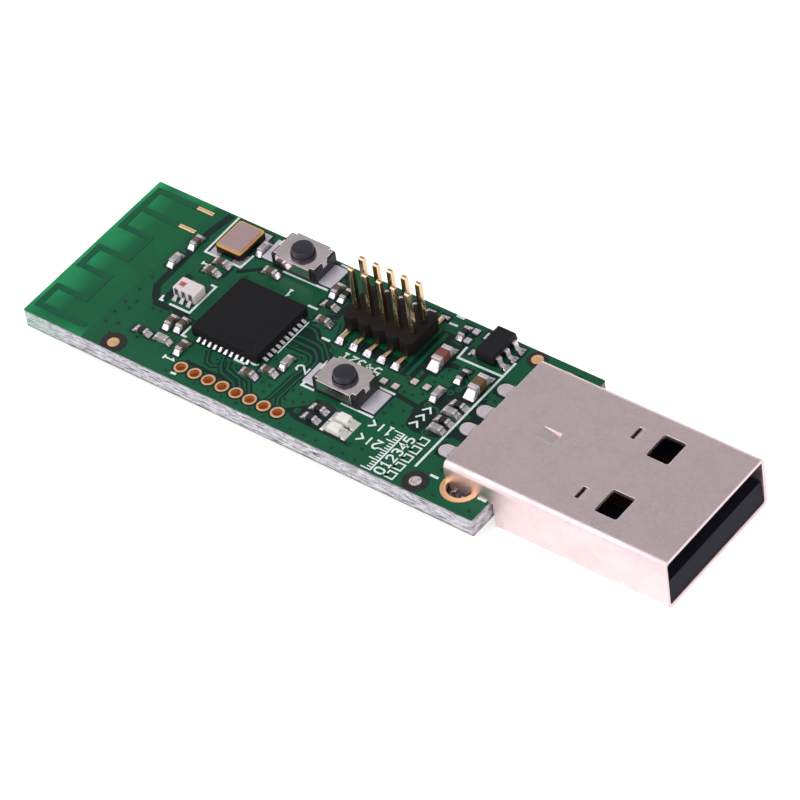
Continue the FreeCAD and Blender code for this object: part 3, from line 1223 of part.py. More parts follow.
def make_small_parts():
    """Small capacitors, resistors and inductors, each lying along or across the board."""
    capacitors = (
        ("crystal_load_a", CHIP, crystal_load_a_along, crystal_load_a_across, LENGTHWISE),
        ("crystal_load_b", CRYSTAL, crystal_load_b_along, crystal_load_b_across, LENGTHWISE),
        ("supply_a", CHIP, supply_a_along, supply_a_across, LENGTHWISE),
        ("supply_b", SWITCH, supply_b_along, supply_b_across, CROSSWISE),
        ("supply_c", CHIP, supply_c_along, supply_c_across, LENGTHWISE),
        ("supply_d", CHIP, supply_d_along, supply_d_across, LENGTHWISE),
        ("supply_e", CHIP, supply_e_along, supply_e_across, LENGTHWISE),
        ("filter_a", CHIP, filter_a_along, filter_a_across, CROSSWISE),
        ("filter_b", CHIP, filter_b_along, filter_b_across, CROSSWISE),
        ("filter_c", CHIP, filter_c_along, filter_c_across, CROSSWISE),
        ("match_a", FEED, match_a_along, match_a_across, CROSSWISE),
    )
    resistors = (
        ("bias", CHIP, bias_along, bias_across, LENGTHWISE),
        ("reset_pull", SWITCH, reset_pull_along, reset_pull_across, CROSSWISE),
        ("button_pull", SWITCH, button_pull_along, button_pull_across, LENGTHWISE),
        ("light_one_series", LIGHT, light_one_series_along, light_one_series_across, LENGTHWISE),
        ("light_two_series", LIGHT, light_two_series_along, light_two_series_across, LENGTHWISE),
        ("regulator_set", REGULATOR, regulator_set_along, regulator_set_across, CROSSWISE),
        ("supply_bleed", REAR, supply_bleed_along, supply_bleed_across, CROSSWISE),
        ("data_minus_series", REAR, data_minus_series_along, data_minus_series_across, LENGTHWISE),
        ("data_plus_series", REAR, data_plus_series_along, data_plus_series_across, LENGTHWISE),
    )
    inductors = (
        ("match_b", FEED, match_b_along, match_b_across, CROSSWISE),
        ("crystal_guard", CRYSTAL, crystal_guard_along, crystal_guard_across, CROSSWISE),
        ("filter_d", CHIP, filter_d_along, filter_d_across, LENGTHWISE),
        ("ferrite_a", CHIP, ferrite_a_along, ferrite_a_across, CROSSWISE),
        ("ferrite_b", REAR, ferrite_b_along, ferrite_b_across, CROSSWISE),
        ("data_filter_a", REAR, data_filter_a_along, data_filter_a_across, LENGTHWISE),
        ("data_filter_b", REAR, data_filter_b_along, data_filter_b_across, LENGTHWISE),
    )
    caps = []
    solder = []
    for label, height, parts in (("capacitor_bodies", capacitor_height, capacitors),
                                 ("resistor_bodies", resistor_height, resistors),
                                 ("inductor_bodies", capacitor_height, inductors)):
        bodies = []
        for name, anchor, along, across, lengthwise in parts:
            body, ends, ramps = two_ended_part(name, beside(anchor, along, across),
                                               small_length, small_width, height, small_cap,
                                               joint_reach, lengthwise)
            bodies.append(body)
            caps += ends
            solder += ramps
        group(label, bodies)
    group("chip_part_end_caps", caps)
    group("chip_part_solder", solder)


def make_bulk_capacitors():
    """Two large capacitors, one each side of the regulator."""
    caps = []
    solder = []
    spots = (
        ("input_capacitor", (f"({REAR_END} - {input_bulk_along})",
                             f"({FAR_EDGE} - {input_bulk_inset})")),
        ("output_capacitor", (f"({REAR_END} - {output_bulk_along})", output_bulk_across)),
    )
    for name, spot in spots:
        body, ends, ramps = two_ended_part(name, spot, bulk_length, bulk_width, bulk_height,
                                           bulk_cap, bulk_joint_reach, CROSSWISE)
        keep(body, f"{name}_body")
        caps += ends
        solder += ramps
    group("bulk_capacitor_end_caps", caps)
    group("bulk_capacitor_solder", solder)


def make_lead_solder():
    """Solder at the toes of the header's feet, the regulator's leads and the switches."""
    ramps = []
    for column in range(pin_column_count):
        shift = f"({column} - {pin_column_count - 1} / 2) * {pin_pitch}"
        for sign, facing in (("+", 90), ("-", 270)):
            ramps.append(fillet_of_solder(f"foot_solder_{column}_{facing}",
                                          f"{HEADER[0]} + {shift}",
                                          f"{HEADER[1]} {sign} {foot_end}", facing,
                                          f"1.5 * {pin_side}", foot_height,
                                          f"1.6 * {foot_height}"))
    for sign, facing, places in (("+", 0, (-1, 0, 1)), ("-", 180, (-1, 1))):
        for order in places:
            ramps.append(fillet_of_solder(
                f"gull_solder_{facing}_{order + 1}",
                f"{REGULATOR[0]} {sign} ({regulator_length} / 2 + {gull_reach})",
                f"{REGULATOR[1]} + {order} * {gull_pitch}", facing,
                f"1.5 * {gull_width}", gull_sheet, f"{gull_reach} / 2"))
    group("lead_solder", ramps)


def check_document():
    """Stop unless every object is sound and every sub-part has a valid shape."""
    for item in doc.Objects:
        if "Invalid" in item.State or "Error" in item.State:
            raise RuntimeError(f"{item.Name} failed: {item.State}")
    for item in subparts:
        if item.Shape.isNull() or not item.Shape.isValid() or not item.Shape.Solids:
            raise RuntimeError(f"{item.Label} has no valid shape")


def export_parts():
    """Write each sub-part to a file of its own."""
    os.makedirs("parts", exist_ok=True)
    for item in subparts:
        item.Shape.exportStep(f"parts/{item.Label}.step")


def main():
    doc.recompute()
    make_board()
    make_plating()
    make_antenna()
    make_bare_pads()
    shell = make_shell()
    contacts = make_contacts()
    make_insulator(contacts)
    make_plug_solder(shell)
    make_radio_chip()
    make_crystal()
    make_switch("switch_one", SWITCH)
    make_switch("switch_two", SECOND_SWITCH)
    make_header()
    make_regulator()
    make_balun()
    make_lights()
    make_small_parts()
    make_bulk_capacitors()
    make_lead_solder()
    doc.recompute()
    check_document()
    export_parts()
    for item in subparts:
        print(item.Label, len(item.Shape.Solids), round(item.Shape.Volume, 4))


main()
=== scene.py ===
"""Dresses the packed radio stick: finishes, copper pattern, print and a small studio."""

import math

import bmesh
import bpy
from bpy.props import FloatProperty, FloatVectorProperty, PointerProperty
from bpy.types import Operator, Panel, PropertyGroup
from mathutils import Matrix, Vector


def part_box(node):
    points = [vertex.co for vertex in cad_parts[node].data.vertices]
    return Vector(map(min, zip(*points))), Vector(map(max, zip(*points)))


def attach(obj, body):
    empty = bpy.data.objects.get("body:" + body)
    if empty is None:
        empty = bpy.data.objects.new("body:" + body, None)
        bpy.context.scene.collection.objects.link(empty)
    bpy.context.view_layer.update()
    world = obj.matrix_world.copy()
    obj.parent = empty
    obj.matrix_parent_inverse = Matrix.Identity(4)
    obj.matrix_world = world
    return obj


bl_info = {
    "name": "Radio Stick",
    "version": (1, 0, 0),
    "blender": (4, 5, 0),
    "location": "3D Viewport > Sidebar > Radio Stick",
    "description": "Finishes, board pattern, print and studio for a bare board radio stick",
    "category": "Object",
}

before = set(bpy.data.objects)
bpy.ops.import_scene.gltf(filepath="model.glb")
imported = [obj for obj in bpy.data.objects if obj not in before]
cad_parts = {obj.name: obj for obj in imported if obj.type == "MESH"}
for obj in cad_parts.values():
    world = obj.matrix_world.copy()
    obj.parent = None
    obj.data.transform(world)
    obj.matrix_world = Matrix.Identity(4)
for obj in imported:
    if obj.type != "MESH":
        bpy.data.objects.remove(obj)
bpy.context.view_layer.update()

MM = 0.001
MICRON = 1e-6
BOARD_LOW, BOARD_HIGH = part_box("circuit_board")
TOP = BOARD_HIGH.z / MM
UNDERSIDE = BOARD_LOW.z / MM
ANTENNA_END = BOARD_LOW.x / MM
BODY = "stick"


def tone(red, green, blue):
    """A colour as a screen shows it, 0 to 255, as linear values."""
    values = []
    for channel in (red, green, blue):
        share = channel / 255
        values.append(share / 12.92 if share <= 0.04045 else ((share + 0.055) / 1.055) ** 2.4)
    return tuple(values)


def shaded(colour, gain, lift=0.0):
    """A colour made darker or paler."""
    return tuple(min(1.0, channel * gain + lift) for channel in colour)


# Settings


def colour_setting(name, description, *screen):
    """A colour, with its default as a screen shows it."""
    return FloatVectorProperty(
        name=name, description=description, default=tone(*screen), subtype="COLOR", size=3, min=0, max=1)


def length_setting(name, description, millimetres):
    """A length, with its default in millimetres."""
    return FloatProperty(
        name=name, description=description, default=millimetres * MM, min=0, unit="LENGTH")


class BoardLook(PropertyGroup):
    """Colours and sizes of the board and its copper."""

    antenna_green: colour_setting(
        "Antenna end", "Mask over bare laminate with light coming through", 20, 101, 62)
    pour_green: colour_setting("Copper area", "Mask over copper", 22, 93, 63)
    gap_green: colour_setting("Copper gap", "Mask over laminate between copper areas", 20, 44, 41)
    trace_green: colour_setting("Antenna trace", "Mask over the antenna's strip", 26, 92, 65)
    glass_pale: colour_setting("Cut edge, pale", "Pale glass threads of the milled edge", 246, 244, 252)
    glass_dark: colour_setting("Cut edge, dark", "Dark resin streaks of the milled edge", 84, 82, 92)
    pour_start: length_setting("Antenna zone", "Length of the board's end that has no copper area", 5.5)
    pad_gap: length_setting("Gap at pads", "Clear border round each soldered pad", 0.13)
    track_width: length_setting("Track width", "Width of a copper track", 0.17)


class PrintLook(PropertyGroup):
    """Sizes and colour of the printed marks."""

    ink: colour_setting("Ink", "Colour of the printed lines and figures", 240, 250, 249)
    line_width: length_setting("Line width", "Width of a printed outline", 0.19)
    figure_height: length_setting("Figure height", "Height of a printed figure", 0.86)
    figure_stroke: length_setting("Figure stroke", "Width of a figure's stroke", 0.15)


class MetalLook(PropertyGroup):
    """Colours of the plated and soldered metal."""

    plug_steel: colour_setting("Plug shell", "Satin nickel of the plug shell", 235, 215, 217)
    cover_steel: colour_setting("Switch covers", "Tinned sheet of the switch covers", 250, 236, 238)
    solder: colour_setting("Solder", "Solder joints", 236, 228, 234)
    gold: colour_setting("Gold", "Gold of the pads and rings", 255, 204, 156)
    pin_gold: colour_setting("Pins", "Thin gold of the header pins", 230, 198, 160)
    lid: colour_setting("Crystal lid", "Nickel lid of the crystal", 206, 178, 180)


class BodyLook(PropertyGroup):
    """Colours of the mouldings and ceramics."""

    plug_moulding: colour_setting("Plug insulator", "Blue black moulding in the plug", 25, 25, 38)
    chip_moulding: colour_setting("Radio chip", "Epoxy of the radio chip", 27, 25, 28)
    header_moulding: colour_setting("Header", "Moulding of the pin header", 24, 21, 21)
    button: colour_setting("Buttons", "Moulding of the buttons", 35, 32, 46)
    filter_ceramic: colour_setting("Antenna filter", "Pale ceramic of the antenna filter", 232, 220, 222)
    lens: colour_setting("Lenses", "Milky resin of the lights", 255, 250, 246)


class StudioLook(PropertyGroup):
    """Camera, lights and floor."""

    azimuth: FloatProperty(
        name="Azimuth", description="Camera's turn round the stick, from in front of the near side",
        default=math.radians(43.175), subtype="ANGLE")
    elevation: FloatProperty(
        name="Elevation", description="Camera's height angle",
        default=math.radians(44.441), subtype="ANGLE")
    roll: FloatProperty(
        name="Roll", description="Turn of the picture",
        default=math.radians(-8.559), subtype="ANGLE")
    distance: FloatProperty(
        name="Distance", description="Camera to the point it aims at",
        default=0.354978, min=0.05, unit="LENGTH")
    aim: FloatVectorProperty(
        name="Aim", description="Point in the middle of the picture",
        subtype="TRANSLATION", size=3, default=(0.001544, -0.001148, 0.0025))
    lens: FloatProperty(
        name="Focal length", description="Focal length in millimetres for a sensor 36 mm wide",
        default=225.13, min=10)
    key_share: FloatProperty(
        name="Key light", description="Share of full brightness that the key light gives",
        default=0.48, min=0)
    fill_share: FloatProperty(
        name="Fill light", description="Share of full brightness that the fill light gives",
        default=0.2, min=0)
    shadow_floor: FloatProperty(
        name="Floor lift", description="Brightness that the floor has in full shadow",
        default=0.68, min=0, max=1)


# Shader nodes

# The Mix node repeats its socket names for each kind of value, so its colours go by number
MIX_FIRST, MIX_SECOND, MIX_RESULT = 6, 7, 2


def add_node(tree, kind, **settings):
    """A node of one kind with its plain properties set."""
    node = tree.nodes.new(kind)
    for key, value in settings.items():
        setattr(node, key, value)
    return node


def feed(tree, socket, value):
    """Link a socket to another, or set it to a number or colour."""
    if isinstance(value, bpy.types.NodeSocket):
        tree.links.new(value, socket)
    elif socket.type == "RGBA" and len(value) == 3:
        socket.default_value = (*value, 1.0)
    else:
        socket.default_value = value


def feed_named(tree, node, **values):
    """Feed sockets by name, with an underscore for each space, and give the node's outputs."""
    for key, value in values.items():
        feed(tree, node.inputs[key.replace("_", " ")], value)
    return node.outputs


def figure(tree, operation, first, second=0.0, third=0.0):
    """One step of arithmetic."""
    node = add_node(tree, "ShaderNodeMath", operation=operation)
    for socket, value in zip(node.inputs, (first, second, third)):
        feed(tree, socket, value)
    return node.outputs[0]


def blend(tree, share, first, second, strength=None):
    """The first colour at share 0 and the second at share 1, or at its strength."""
    if strength is not None:
        share = figure(tree, "MULTIPLY", share, strength)
    node = add_node(tree, "ShaderNodeMix", data_type="RGBA")
    feed(tree, node.inputs["Factor"], share)
    feed(tree, node.inputs[MIX_FIRST], first)
    feed(tree, node.inputs[MIX_SECOND], second)
    return node.outputs[MIX_RESULT]


def scaled(tree, vector, gain):
    """A place or colour times a number."""
    node = add_node(tree, "ShaderNodeVectorMath", operation="SCALE")
    feed(tree, node.inputs[0], vector)
    feed(tree, node.inputs["Scale"], gain)
    return node.outputs[0]


def split(tree, vector):
    """The three numbers of a place or direction."""
    node = add_node(tree, "ShaderNodeSeparateXYZ")
    feed(tree, node.inputs[0], vector)
    return node.outputs


def spread(tree, value, low, high, new_low=0.0, new_high=1.0):
    """Stretch a range of values onto another, with its ends held."""
    node = add_node(tree, "ShaderNodeMapRange", clamp=True)
    return feed_named(tree, node, Value=value, From_Min=low, From_Max=high,
                      To_Min=new_low, To_Max=new_high)["Result"]


def noise(tree, where, scale, detail=2.0, roughness=0.5, distortion=0.0):
    """Soft random value from 0 to 1."""
    node = add_node(tree, "ShaderNodeTexNoise")
    return feed_named(tree, node, Vector=where, Scale=scale, Detail=detail, Roughness=roughness,
                      Distortion=distortion)["Fac"]


def object_millimetres(tree):
    """The place on the object in millimetres."""
    return scaled(tree, add_node(tree, "ShaderNodeTexCoord").outputs["Object"], 1 / MM)


def new_group(name, inputs, outputs):
    """An empty shader group with named number and colour sockets."""
    group = bpy.data.node_groups.new(name, "ShaderNodeTree")
    for label, default in inputs.items():
        kind = "NodeSocketColor" if isinstance(default, tuple) else "NodeSocketFloat"
        socket = group.interface.new_socket(name=label, in_out="INPUT", socket_type=kind)
        socket.default_value = default
    for label in outputs:
        kind = "NodeSocketColor" if label == "Colour" else "NodeSocketFloat"
        group.interface.new_socket(name=label, in_out="OUTPUT", socket_type=kind)
    return group, add_node(group, "NodeGroupInput").outputs, add_node(group, "NodeGroupOutput").inputs


def build_speckle():
    """Fine grain: small spots that vary a colour and lift the surface."""
    group, given, result = new_group(
        "Speckle",
        {"Spots per mm": 8.0, "Strength": 0.2, "Colour": (0.5, 0.5, 0.5, 1)},
        ("Colour", "Grain"))
    grain = noise(group, object_millimetres(group), given["Spots per mm"], 4.0, 0.65)
    sharp = spread(group, grain, 0.32, 0.68)
    low = figure(group, "SUBTRACT", 1.0, given["Strength"])
    high = figure(group, "ADD", 1.0, given["Strength"])
    gain = spread(group, sharp, 0.0, 1.0, low, high)
    feed(group, result["Colour"], scaled(group, given["Colour"], gain))
    feed(group, result["Grain"], sharp)
    return group


def build_smudge():
    """Handling marks: wide soft patches."""
    group, given, result = new_group("Smudge", {"Patches per mm": 0.5}, ("Patch",))
    patch = noise(group, object_millimetres(group), given["Patches per mm"], 3.0, 0.6, 0.8)
    feed(group, result["Patch"], spread(group, patch, 0.35, 0.65))
    return group


def build_streaks():
    """Streaks that run round the outline of a sheet, as milling leaves them."""
    group, given, result = new_group(
        "Streaks", {"Along per mm": 0.9, "Across per mm": 9.0}, ("Streak", "Fine"))
    x, y, z = split(group, object_millimetres(group))
    run = figure(group, "MULTIPLY", figure(group, "ADD", x, y), given["Along per mm"])
    rise = figure(group, "MULTIPLY", z, given["Across per mm"])
    place = feed_named(group, add_node(group, "ShaderNodeCombineXYZ"), X=run, Z=rise)[0]
    wide = noise(group, place, 1.0, 5.0, 0.7, 0.3)
    fine = noise(group, place, 2.6, 4.0, 0.75, 0.6)
    feed(group, result["Streak"], spread(group, wide, 0.36, 0.52))
    feed(group, result["Fine"], spread(group, fine, 0.52, 0.6))
    return group


def build_rubbed_edges():
    """Mask that is 1 on outer edges and 0 on open faces."""
    group, given, result = new_group("Rubbed edges", {"Width": 0.0001}, ("Edge",))
    rounded = feed_named(group, add_node(group, "ShaderNodeBevel", samples=4), Radius=given["Width"])[0]
    match = add_node(group, "ShaderNodeVectorMath", operation="DOT_PRODUCT")
    feed(group, match.inputs[0], rounded)
    feed(group, match.inputs[1], add_node(group, "ShaderNodeNewGeometry").outputs["Normal"])
    feed(group, result["Edge"], spread(group, match.outputs["Value"], 0.99, 0.8))
    return group


def build_weave():
    """Glass cloth under the mask: two crossed sets of threads."""
    group, given, result = new_group("Glass weave", {"Threads per mm": 1.8}, ("Weave",))
    x, y, _ = split(group, object_millimetres(group))
    turns = figure(group, "MULTIPLY", given["Threads per mm"], 2 * math.pi)
    warp = figure(group, "SINE", figure(group, "MULTIPLY", x, turns))
    weft = figure(group, "SINE", figure(group, "MULTIPLY", y, turns))
    crossed = figure(group, "MULTIPLY", warp, weft)
    feed(group, result["Weave"], spread(group, crossed, -1.0, 1.0))
    return group


GROUP_BUILDERS = {
    "Speckle": build_speckle,
    "Smudge": build_smudge,
    "Streaks": build_streaks,
    "Rubbed edges": build_rubbed_edges,
    "Glass weave": build_weave,
}


def effect(tree, name, **values):
    """Place a shared effect in a material with its own values."""
    group = bpy.data.node_groups.get(name) or GROUP_BUILDERS[name]()
    return feed_named(tree, add_node(tree, "ShaderNodeGroup", node_tree=group), **values)


def speckle(tree, spots, strength, colour):
    """The shared grain over a colour."""
    return effect(tree, "Speckle", Spots_per_mm=spots, Strength=strength, Colour=colour)


# Finishes: wear and rounding in millimetres, relief and ripple in micrometres


def new_material(name):
    """A node material, with its tree and its surface shader."""
    material = bpy.data.materials.new(name)
    material.use_nodes = True
    tree = material.node_tree
    return material, tree, tree.nodes["Principled BSDF"]


def rub_edges(tree, body, width, paler, strength):
    """Let a paler colour show on outer edges."""
    edge = effect(tree, "Rubbed edges", Width=width * MM)["Edge"]
    return blend(tree, edge, body, paler, strength)


def add_bump(tree, shader, height, relief, strength=1.0, rounding=0.0):
    """Raise the surface by a height value, over edges that look rounded."""
    bump = add_node(tree, "ShaderNodeBump")
    if rounding:
        rounded = add_node(tree, "ShaderNodeBevel", samples=6)
        rounded.inputs["Radius"].default_value = rounding * MM
        feed(tree, bump.inputs["Normal"], rounded.outputs[0])
    feed_named(tree, bump, Strength=strength, Distance=relief * MICRON, Height=height)
    feed(tree, shader.inputs["Normal"], bump.outputs[0])


def roughen(tree, shader, grain, share, roughness):
    """Let the grain add its share to the roughness."""
    feed(tree, shader.inputs["Roughness"], figure(tree, "MULTIPLY_ADD", grain, share, roughness))


def metal(name, colour, roughness=0.3, spots=9.0, grain=0.08, smudge=0.1, wear=0.0, relief=0.4,
          rounding=0.0, metallic=1.0):
    """Plated metal: fine grain, handling marks and paler edges, partly rubbed wear and partly a painted
    highlight.
    """
    material, tree, shader = new_material(name)
    speckled = speckle(tree, spots, grain, colour)
    patch = effect(tree, "Smudge", Patches_per_mm=0.45)["Patch"]
    dull = blend(tree, patch, speckled["Colour"], shaded(colour, 0.72), smudge * 2.5)
    # Paler edges: partly rubbed wear, partly a painted highlight along the edges
    if wear:
        dull = rub_edges(tree, dull, wear, shaded(colour, 1.25, 0.04), 0.7)
    feed_named(tree, shader, Base_Color=dull, Metallic=metallic)
    rough = figure(tree, "MULTIPLY_ADD", patch, smudge, roughness)
    roughen(tree, shader, speckled["Grain"], grain, rough)
    add_bump(tree, shader, speckled["Grain"], relief, rounding=rounding)
    return material


def moulding(name, colour, roughness=0.5, spots=14.0, grain=0.12, wear=0.05, gloss=0.5, relief=1.2):
    """Moulded plastic: fine grain with a little wear on the edges."""
    material, tree, shader = new_material(name)
    speckled = speckle(tree, spots, grain, colour)
    body = rub_edges(tree, speckled["Colour"], wear, shaded(colour, 1.5, 0.03), 0.45)
    feed_named(tree, shader, Base_Color=body, Specular_IOR_Level=gloss)
    roughen(tree, shader, speckled["Grain"], 0.12, roughness)
    add_bump(tree, shader, speckled["Grain"], relief)
    return material


def ceramic(name, colour, variation, roughness=0.45):
    """Fired ceramic whose tone differs from one part to the next."""
    material, tree, shader = new_material(name)
    each = add_node(tree, "ShaderNodeNewGeometry").outputs["Random Per Island"]
    gain = spread(tree, each, 0.0, 1.0, 1 - variation, 1 + variation)
    speckled = speckle(tree, 11.0, 0.16, scaled(tree, colour, gain))
    body = rub_edges(tree, speckled["Colour"], 0.04, shaded(colour, 1.3, 0.06), 0.5)
    feed_named(tree, shader, Base_Color=body)
    roughen(tree, shader, speckled["Grain"], 0.15, roughness)
    add_bump(tree, shader, speckled["Grain"], 1.5)
    return material


def solder_finish(name, colour, roughness=0.14, ripple=45, painted_dark_reflection=0.25, metallic=0.8):
    """Reflowed solder: bright, with a ripple and dark patches as a painted reflection in its facets."""
    material, tree, shader = new_material(name)
    place = object_millimetres(tree)
    waves = noise(tree, place, 3.6, 3.0, 0.55, 0.8)
    # Painted reflection: dark patches in the colour stand in for the dark surroundings that the solder's
    # facets mirror
    dark_reflection_mask = spread(tree, noise(tree, place, 2.6, 3.0, 0.6, 1.2), 0.52, 0.6)
    speckled = speckle(tree, 12.0, 0.05, colour)
    body = blend(tree, dark_reflection_mask, speckled["Colour"], tone(62, 56, 60), painted_dark_reflection)
    feed_named(tree, shader, Base_Color=body, Metallic=metallic)
    roughen(tree, shader, speckled["Grain"], 0.1, roughness)
    add_bump(tree, shader, waves, ripple, strength=0.8)
    return material


def flux_finish():
    """Glossy dark flux with bright solder showing through in flecks."""
    material, tree, shader = new_material("flux_over_solder")
    place = object_millimetres(tree)
    flecks = spread(tree, noise(tree, place, 1.9, 3.0, 0.6, 2.2), 0.57, 0.62)
    speckled = speckle(tree, 10.0, 0.1, tone(226, 216, 220))
    body = blend(tree, flecks, tone(26, 22, 24), speckled["Colour"])
    feed_named(tree, shader, Base_Color=body, Metallic=flecks)
    roughen(tree, shader, speckled["Grain"], 0.08, 0.12)
    add_bump(tree, shader, noise(tree, place, 2.4, 3.0, 0.6, 1.5), 160, strength=0.9)
    return material


def contact_finish(gold, tin):
    """Contacts: gold in the plug's mouth, tinned where they are soldered."""
    material, tree, shader = new_material("contact_gold_and_tin")
    along = split(tree, object_millimetres(tree))["X"]
    in_mouth = spread(tree, along, 11.6, 12.2)
    speckled = speckle(tree, 9.0, 0.05, blend(tree, in_mouth, tin, gold))
    feed_named(tree, shader, Base_Color=speckled["Colour"], Metallic=1)
    roughen(tree, shader, speckled["Grain"], 0.08, 0.24)
    add_bump(tree, shader, speckled["Grain"], 1)
    return material


def mask_finish(name, colour):
    """Solder mask: a glossy lacquer with the weave just showing."""
    material, tree, shader = new_material(name)
    weave = effect(tree, "Glass weave", Threads_per_mm=1.8)["Weave"]
    patch = effect(tree, "Smudge", Patches_per_mm=0.22)["Patch"]
    speckled = speckle(tree, 6.0, 0.06, colour)
    deeper = shaded(colour, 0.8)
    body = blend(tree, patch, speckled["Colour"], deeper, 0.45)
    body = blend(tree, weave, body, deeper, 0.1)
    feed_named(tree, shader, Base_Color=body, Specular_IOR_Level=0.2)
    roughen(tree, shader, speckled["Grain"], 0.1, 0.34)
    add_bump(tree, shader, figure(tree, "MULTIPLY_ADD", weave, 0.5, speckled["Grain"]), 1)
    return material


def board_finish(look):
    """The board: mask on its faces in two zones, milled glass fibre on its edges."""
    material, tree, shader = new_material("board_mask_and_glass")
    place = object_millimetres(tree)
    x, y, z = split(tree, place)
    slope = split(tree, add_node(tree, "ShaderNodeTexCoord").outputs["Normal"])
    flat = figure(tree, "GREATER_THAN", figure(tree, "ABSOLUTE", slope["Z"]), 0.5)

    # The faces are paler at the antenna end, where light comes through the bare laminate
    start = ANTENNA_END + look.pour_start / MM
    in_pour = spread(tree, x, start - 0.05, start + 0.05)
    end_glow = spread(tree, x, ANTENNA_END + 2.6, ANTENNA_END + 0.2)
    side_glow = spread(tree, figure(tree, "ABSOLUTE", y), 6.9, BOARD_HIGH.y / MM)
    glow = figure(tree, "MAXIMUM", end_glow, figure(tree, "MULTIPLY", side_glow, 0.6))
    cloud = spread(tree, noise(tree, place, 0.35, 2.0), 0.35, 0.65)
    glow = figure(tree, "MULTIPLY", glow, spread(tree, cloud, 0.0, 1.0, 0.45, 1.0))
    antenna = blend(tree, glow, look.antenna_green, shaded(look.antenna_green, 3.0, 0.004))
    speckled = speckle(tree, 6.0, 0.05, blend(tree, in_pour, antenna, look.pour_green))
    weave = effect(tree, "Glass weave", Threads_per_mm=1.8)["Weave"]
    patch = effect(tree, "Smudge", Patches_per_mm=0.16)["Patch"]
    face = scaled(tree, speckled["Colour"], spread(tree, patch, 0.0, 1.0, 1.06, 0.9))

    # The cut edges are streaked glass, darker towards both faces, with a thin dark line of copper foil
    streaks = effect(tree, "Streaks", Along_per_mm=0.75, Across_per_mm=7.0)
    glass = blend(tree, streaks["Streak"], look.glass_dark, look.glass_pale)
    glass = blend(tree, streaks["Fine"], glass, look.glass_dark, 0.7)
    height = spread(tree, z, UNDERSIDE, TOP)
    border = figure(tree, "ABSOLUTE", figure(tree, "SUBTRACT", height, 0.5))
    glass = blend(tree, spread(tree, border, 0.32, 0.44), glass, look.glass_dark, 0.35)
    # Painted glow: the cut edges turn pale green towards the antenna end, where light comes through the
    # bare laminate
    through = spread(tree, x, start, ANTENNA_END, 0.0, 0.45)
    glass = blend(tree, through, glass, tone(170, 222, 196))
    glass = blend(tree, spread(tree, border, 0.45, 0.47), glass, look.gap_green, 0.85)

    gloss = figure(tree, "MULTIPLY_ADD", speckled["Grain"], 0.08, 0.33)
    feed_named(tree, shader, Base_Color=blend(tree, flat, glass, face), Specular_IOR_Level=0.2,
               Roughness=spread(tree, flat, 0.0, 1.0, 0.72, gloss))
    smooth = figure(tree, "MULTIPLY_ADD", weave, 0.6, speckled["Grain"])
    rough = figure(tree, "MULTIPLY", streaks["Fine"], -14.0)
    add_bump(tree, shader, spread(tree, flat, 0.0, 1.0, rough, smooth), 1)
    return material


def ink_finish(colour):
    """Screen print: chalky white with thin places."""
    material, tree, shader = new_material("screen_print")
    speckled = speckle(tree, 10.0, 0.07, colour)
    thin = spread(tree, noise(tree, object_millimetres(tree), 2.4, 3.0), 0.52, 0.72)
    body = blend(tree, thin, speckled["Colour"], tone(150, 190, 178), 0.35)
    feed_named(tree, shader, Base_Color=body)
    roughen(tree, shader, speckled["Grain"], 0.15, 0.55)
    add_bump(tree, shader, speckled["Grain"], 2)
    return material


def lens_finish(colour):
    """Milky resin with a little light passing through it."""
    material, tree, shader = new_material("milky_resin")
    speckled = speckle(tree, 5.0, 0.04, colour)
    feed_named(tree, shader, Base_Color=speckled["Colour"], Transmission_Weight=0.04, IOR=1.5)
    roughen(tree, shader, speckled["Grain"], 0.1, 0.2)
    add_bump(tree, shader, speckled["Grain"], 1)
    return material


# Parts and thin shapes

JOIN_DISTANCE = 1e-7
EDGE_ANGLE = math.radians(28)
LAYER_STEP = 0.00012
SPOT_SIDES = 20
RING_SIDES = 28
SLEEVE_SIDES = 32
ARC_STEPS = 12


def dress(material, *names, rounding=0.0, segments=2):
    """Give CAD nodes a finish, and round their edges by so many millimetres with flat faces kept."""
    for name in names:
        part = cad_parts[name]
        for entry in part.material_slots:
            entry.material = material
        if rounding:
            weld = part.modifiers.new("joined", "WELD")
            weld.merge_threshold = JOIN_DISTANCE
            bevel = part.modifiers.new("rounded", "BEVEL")
            bevel.width = rounding * MM
            bevel.segments = segments
            bevel.limit_method = "ANGLE"
            bevel.angle_limit = EDGE_ANGLE
            bevel.use_clamp_overlap = True
            level = part.modifiers.new("levelled", "WEIGHTED_NORMAL")
            level.keep_sharp = False
            level.weight = 80


def islands(name):
    """The lowest and highest corner of each separate solid of a CAD node, in millimetres."""
    shape = bmesh.new()
    shape.from_mesh(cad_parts[name].data)
    bmesh.ops.remove_doubles(shape, verts=shape.verts, dist=JOIN_DISTANCE)
    left = set(shape.verts)
    boxes = []
    for first in shape.verts:
        if first not in left:
            continue
        left.remove(first)
        group = [first]
        low = first.co.copy()
        high = first.co.copy()
        while group:
            point = group.pop()
            low = Vector(map(min, low, point.co))
            high = Vector(map(max, high, point.co))
            for edge in point.link_edges:
                other = edge.other_vert(point)
                if other in left:
                    left.remove(other)
                    group.append(other)
        boxes.append((low / MM, high / MM))
    shape.free()
    return boxes


def circle(x, y, radius, sides):
    """Points round a circle."""
    turns = [2 * math.pi * step / sides for step in range(sides)]
    return [(x + radius * math.cos(turn), y + radius * math.sin(turn)) for turn in turns]


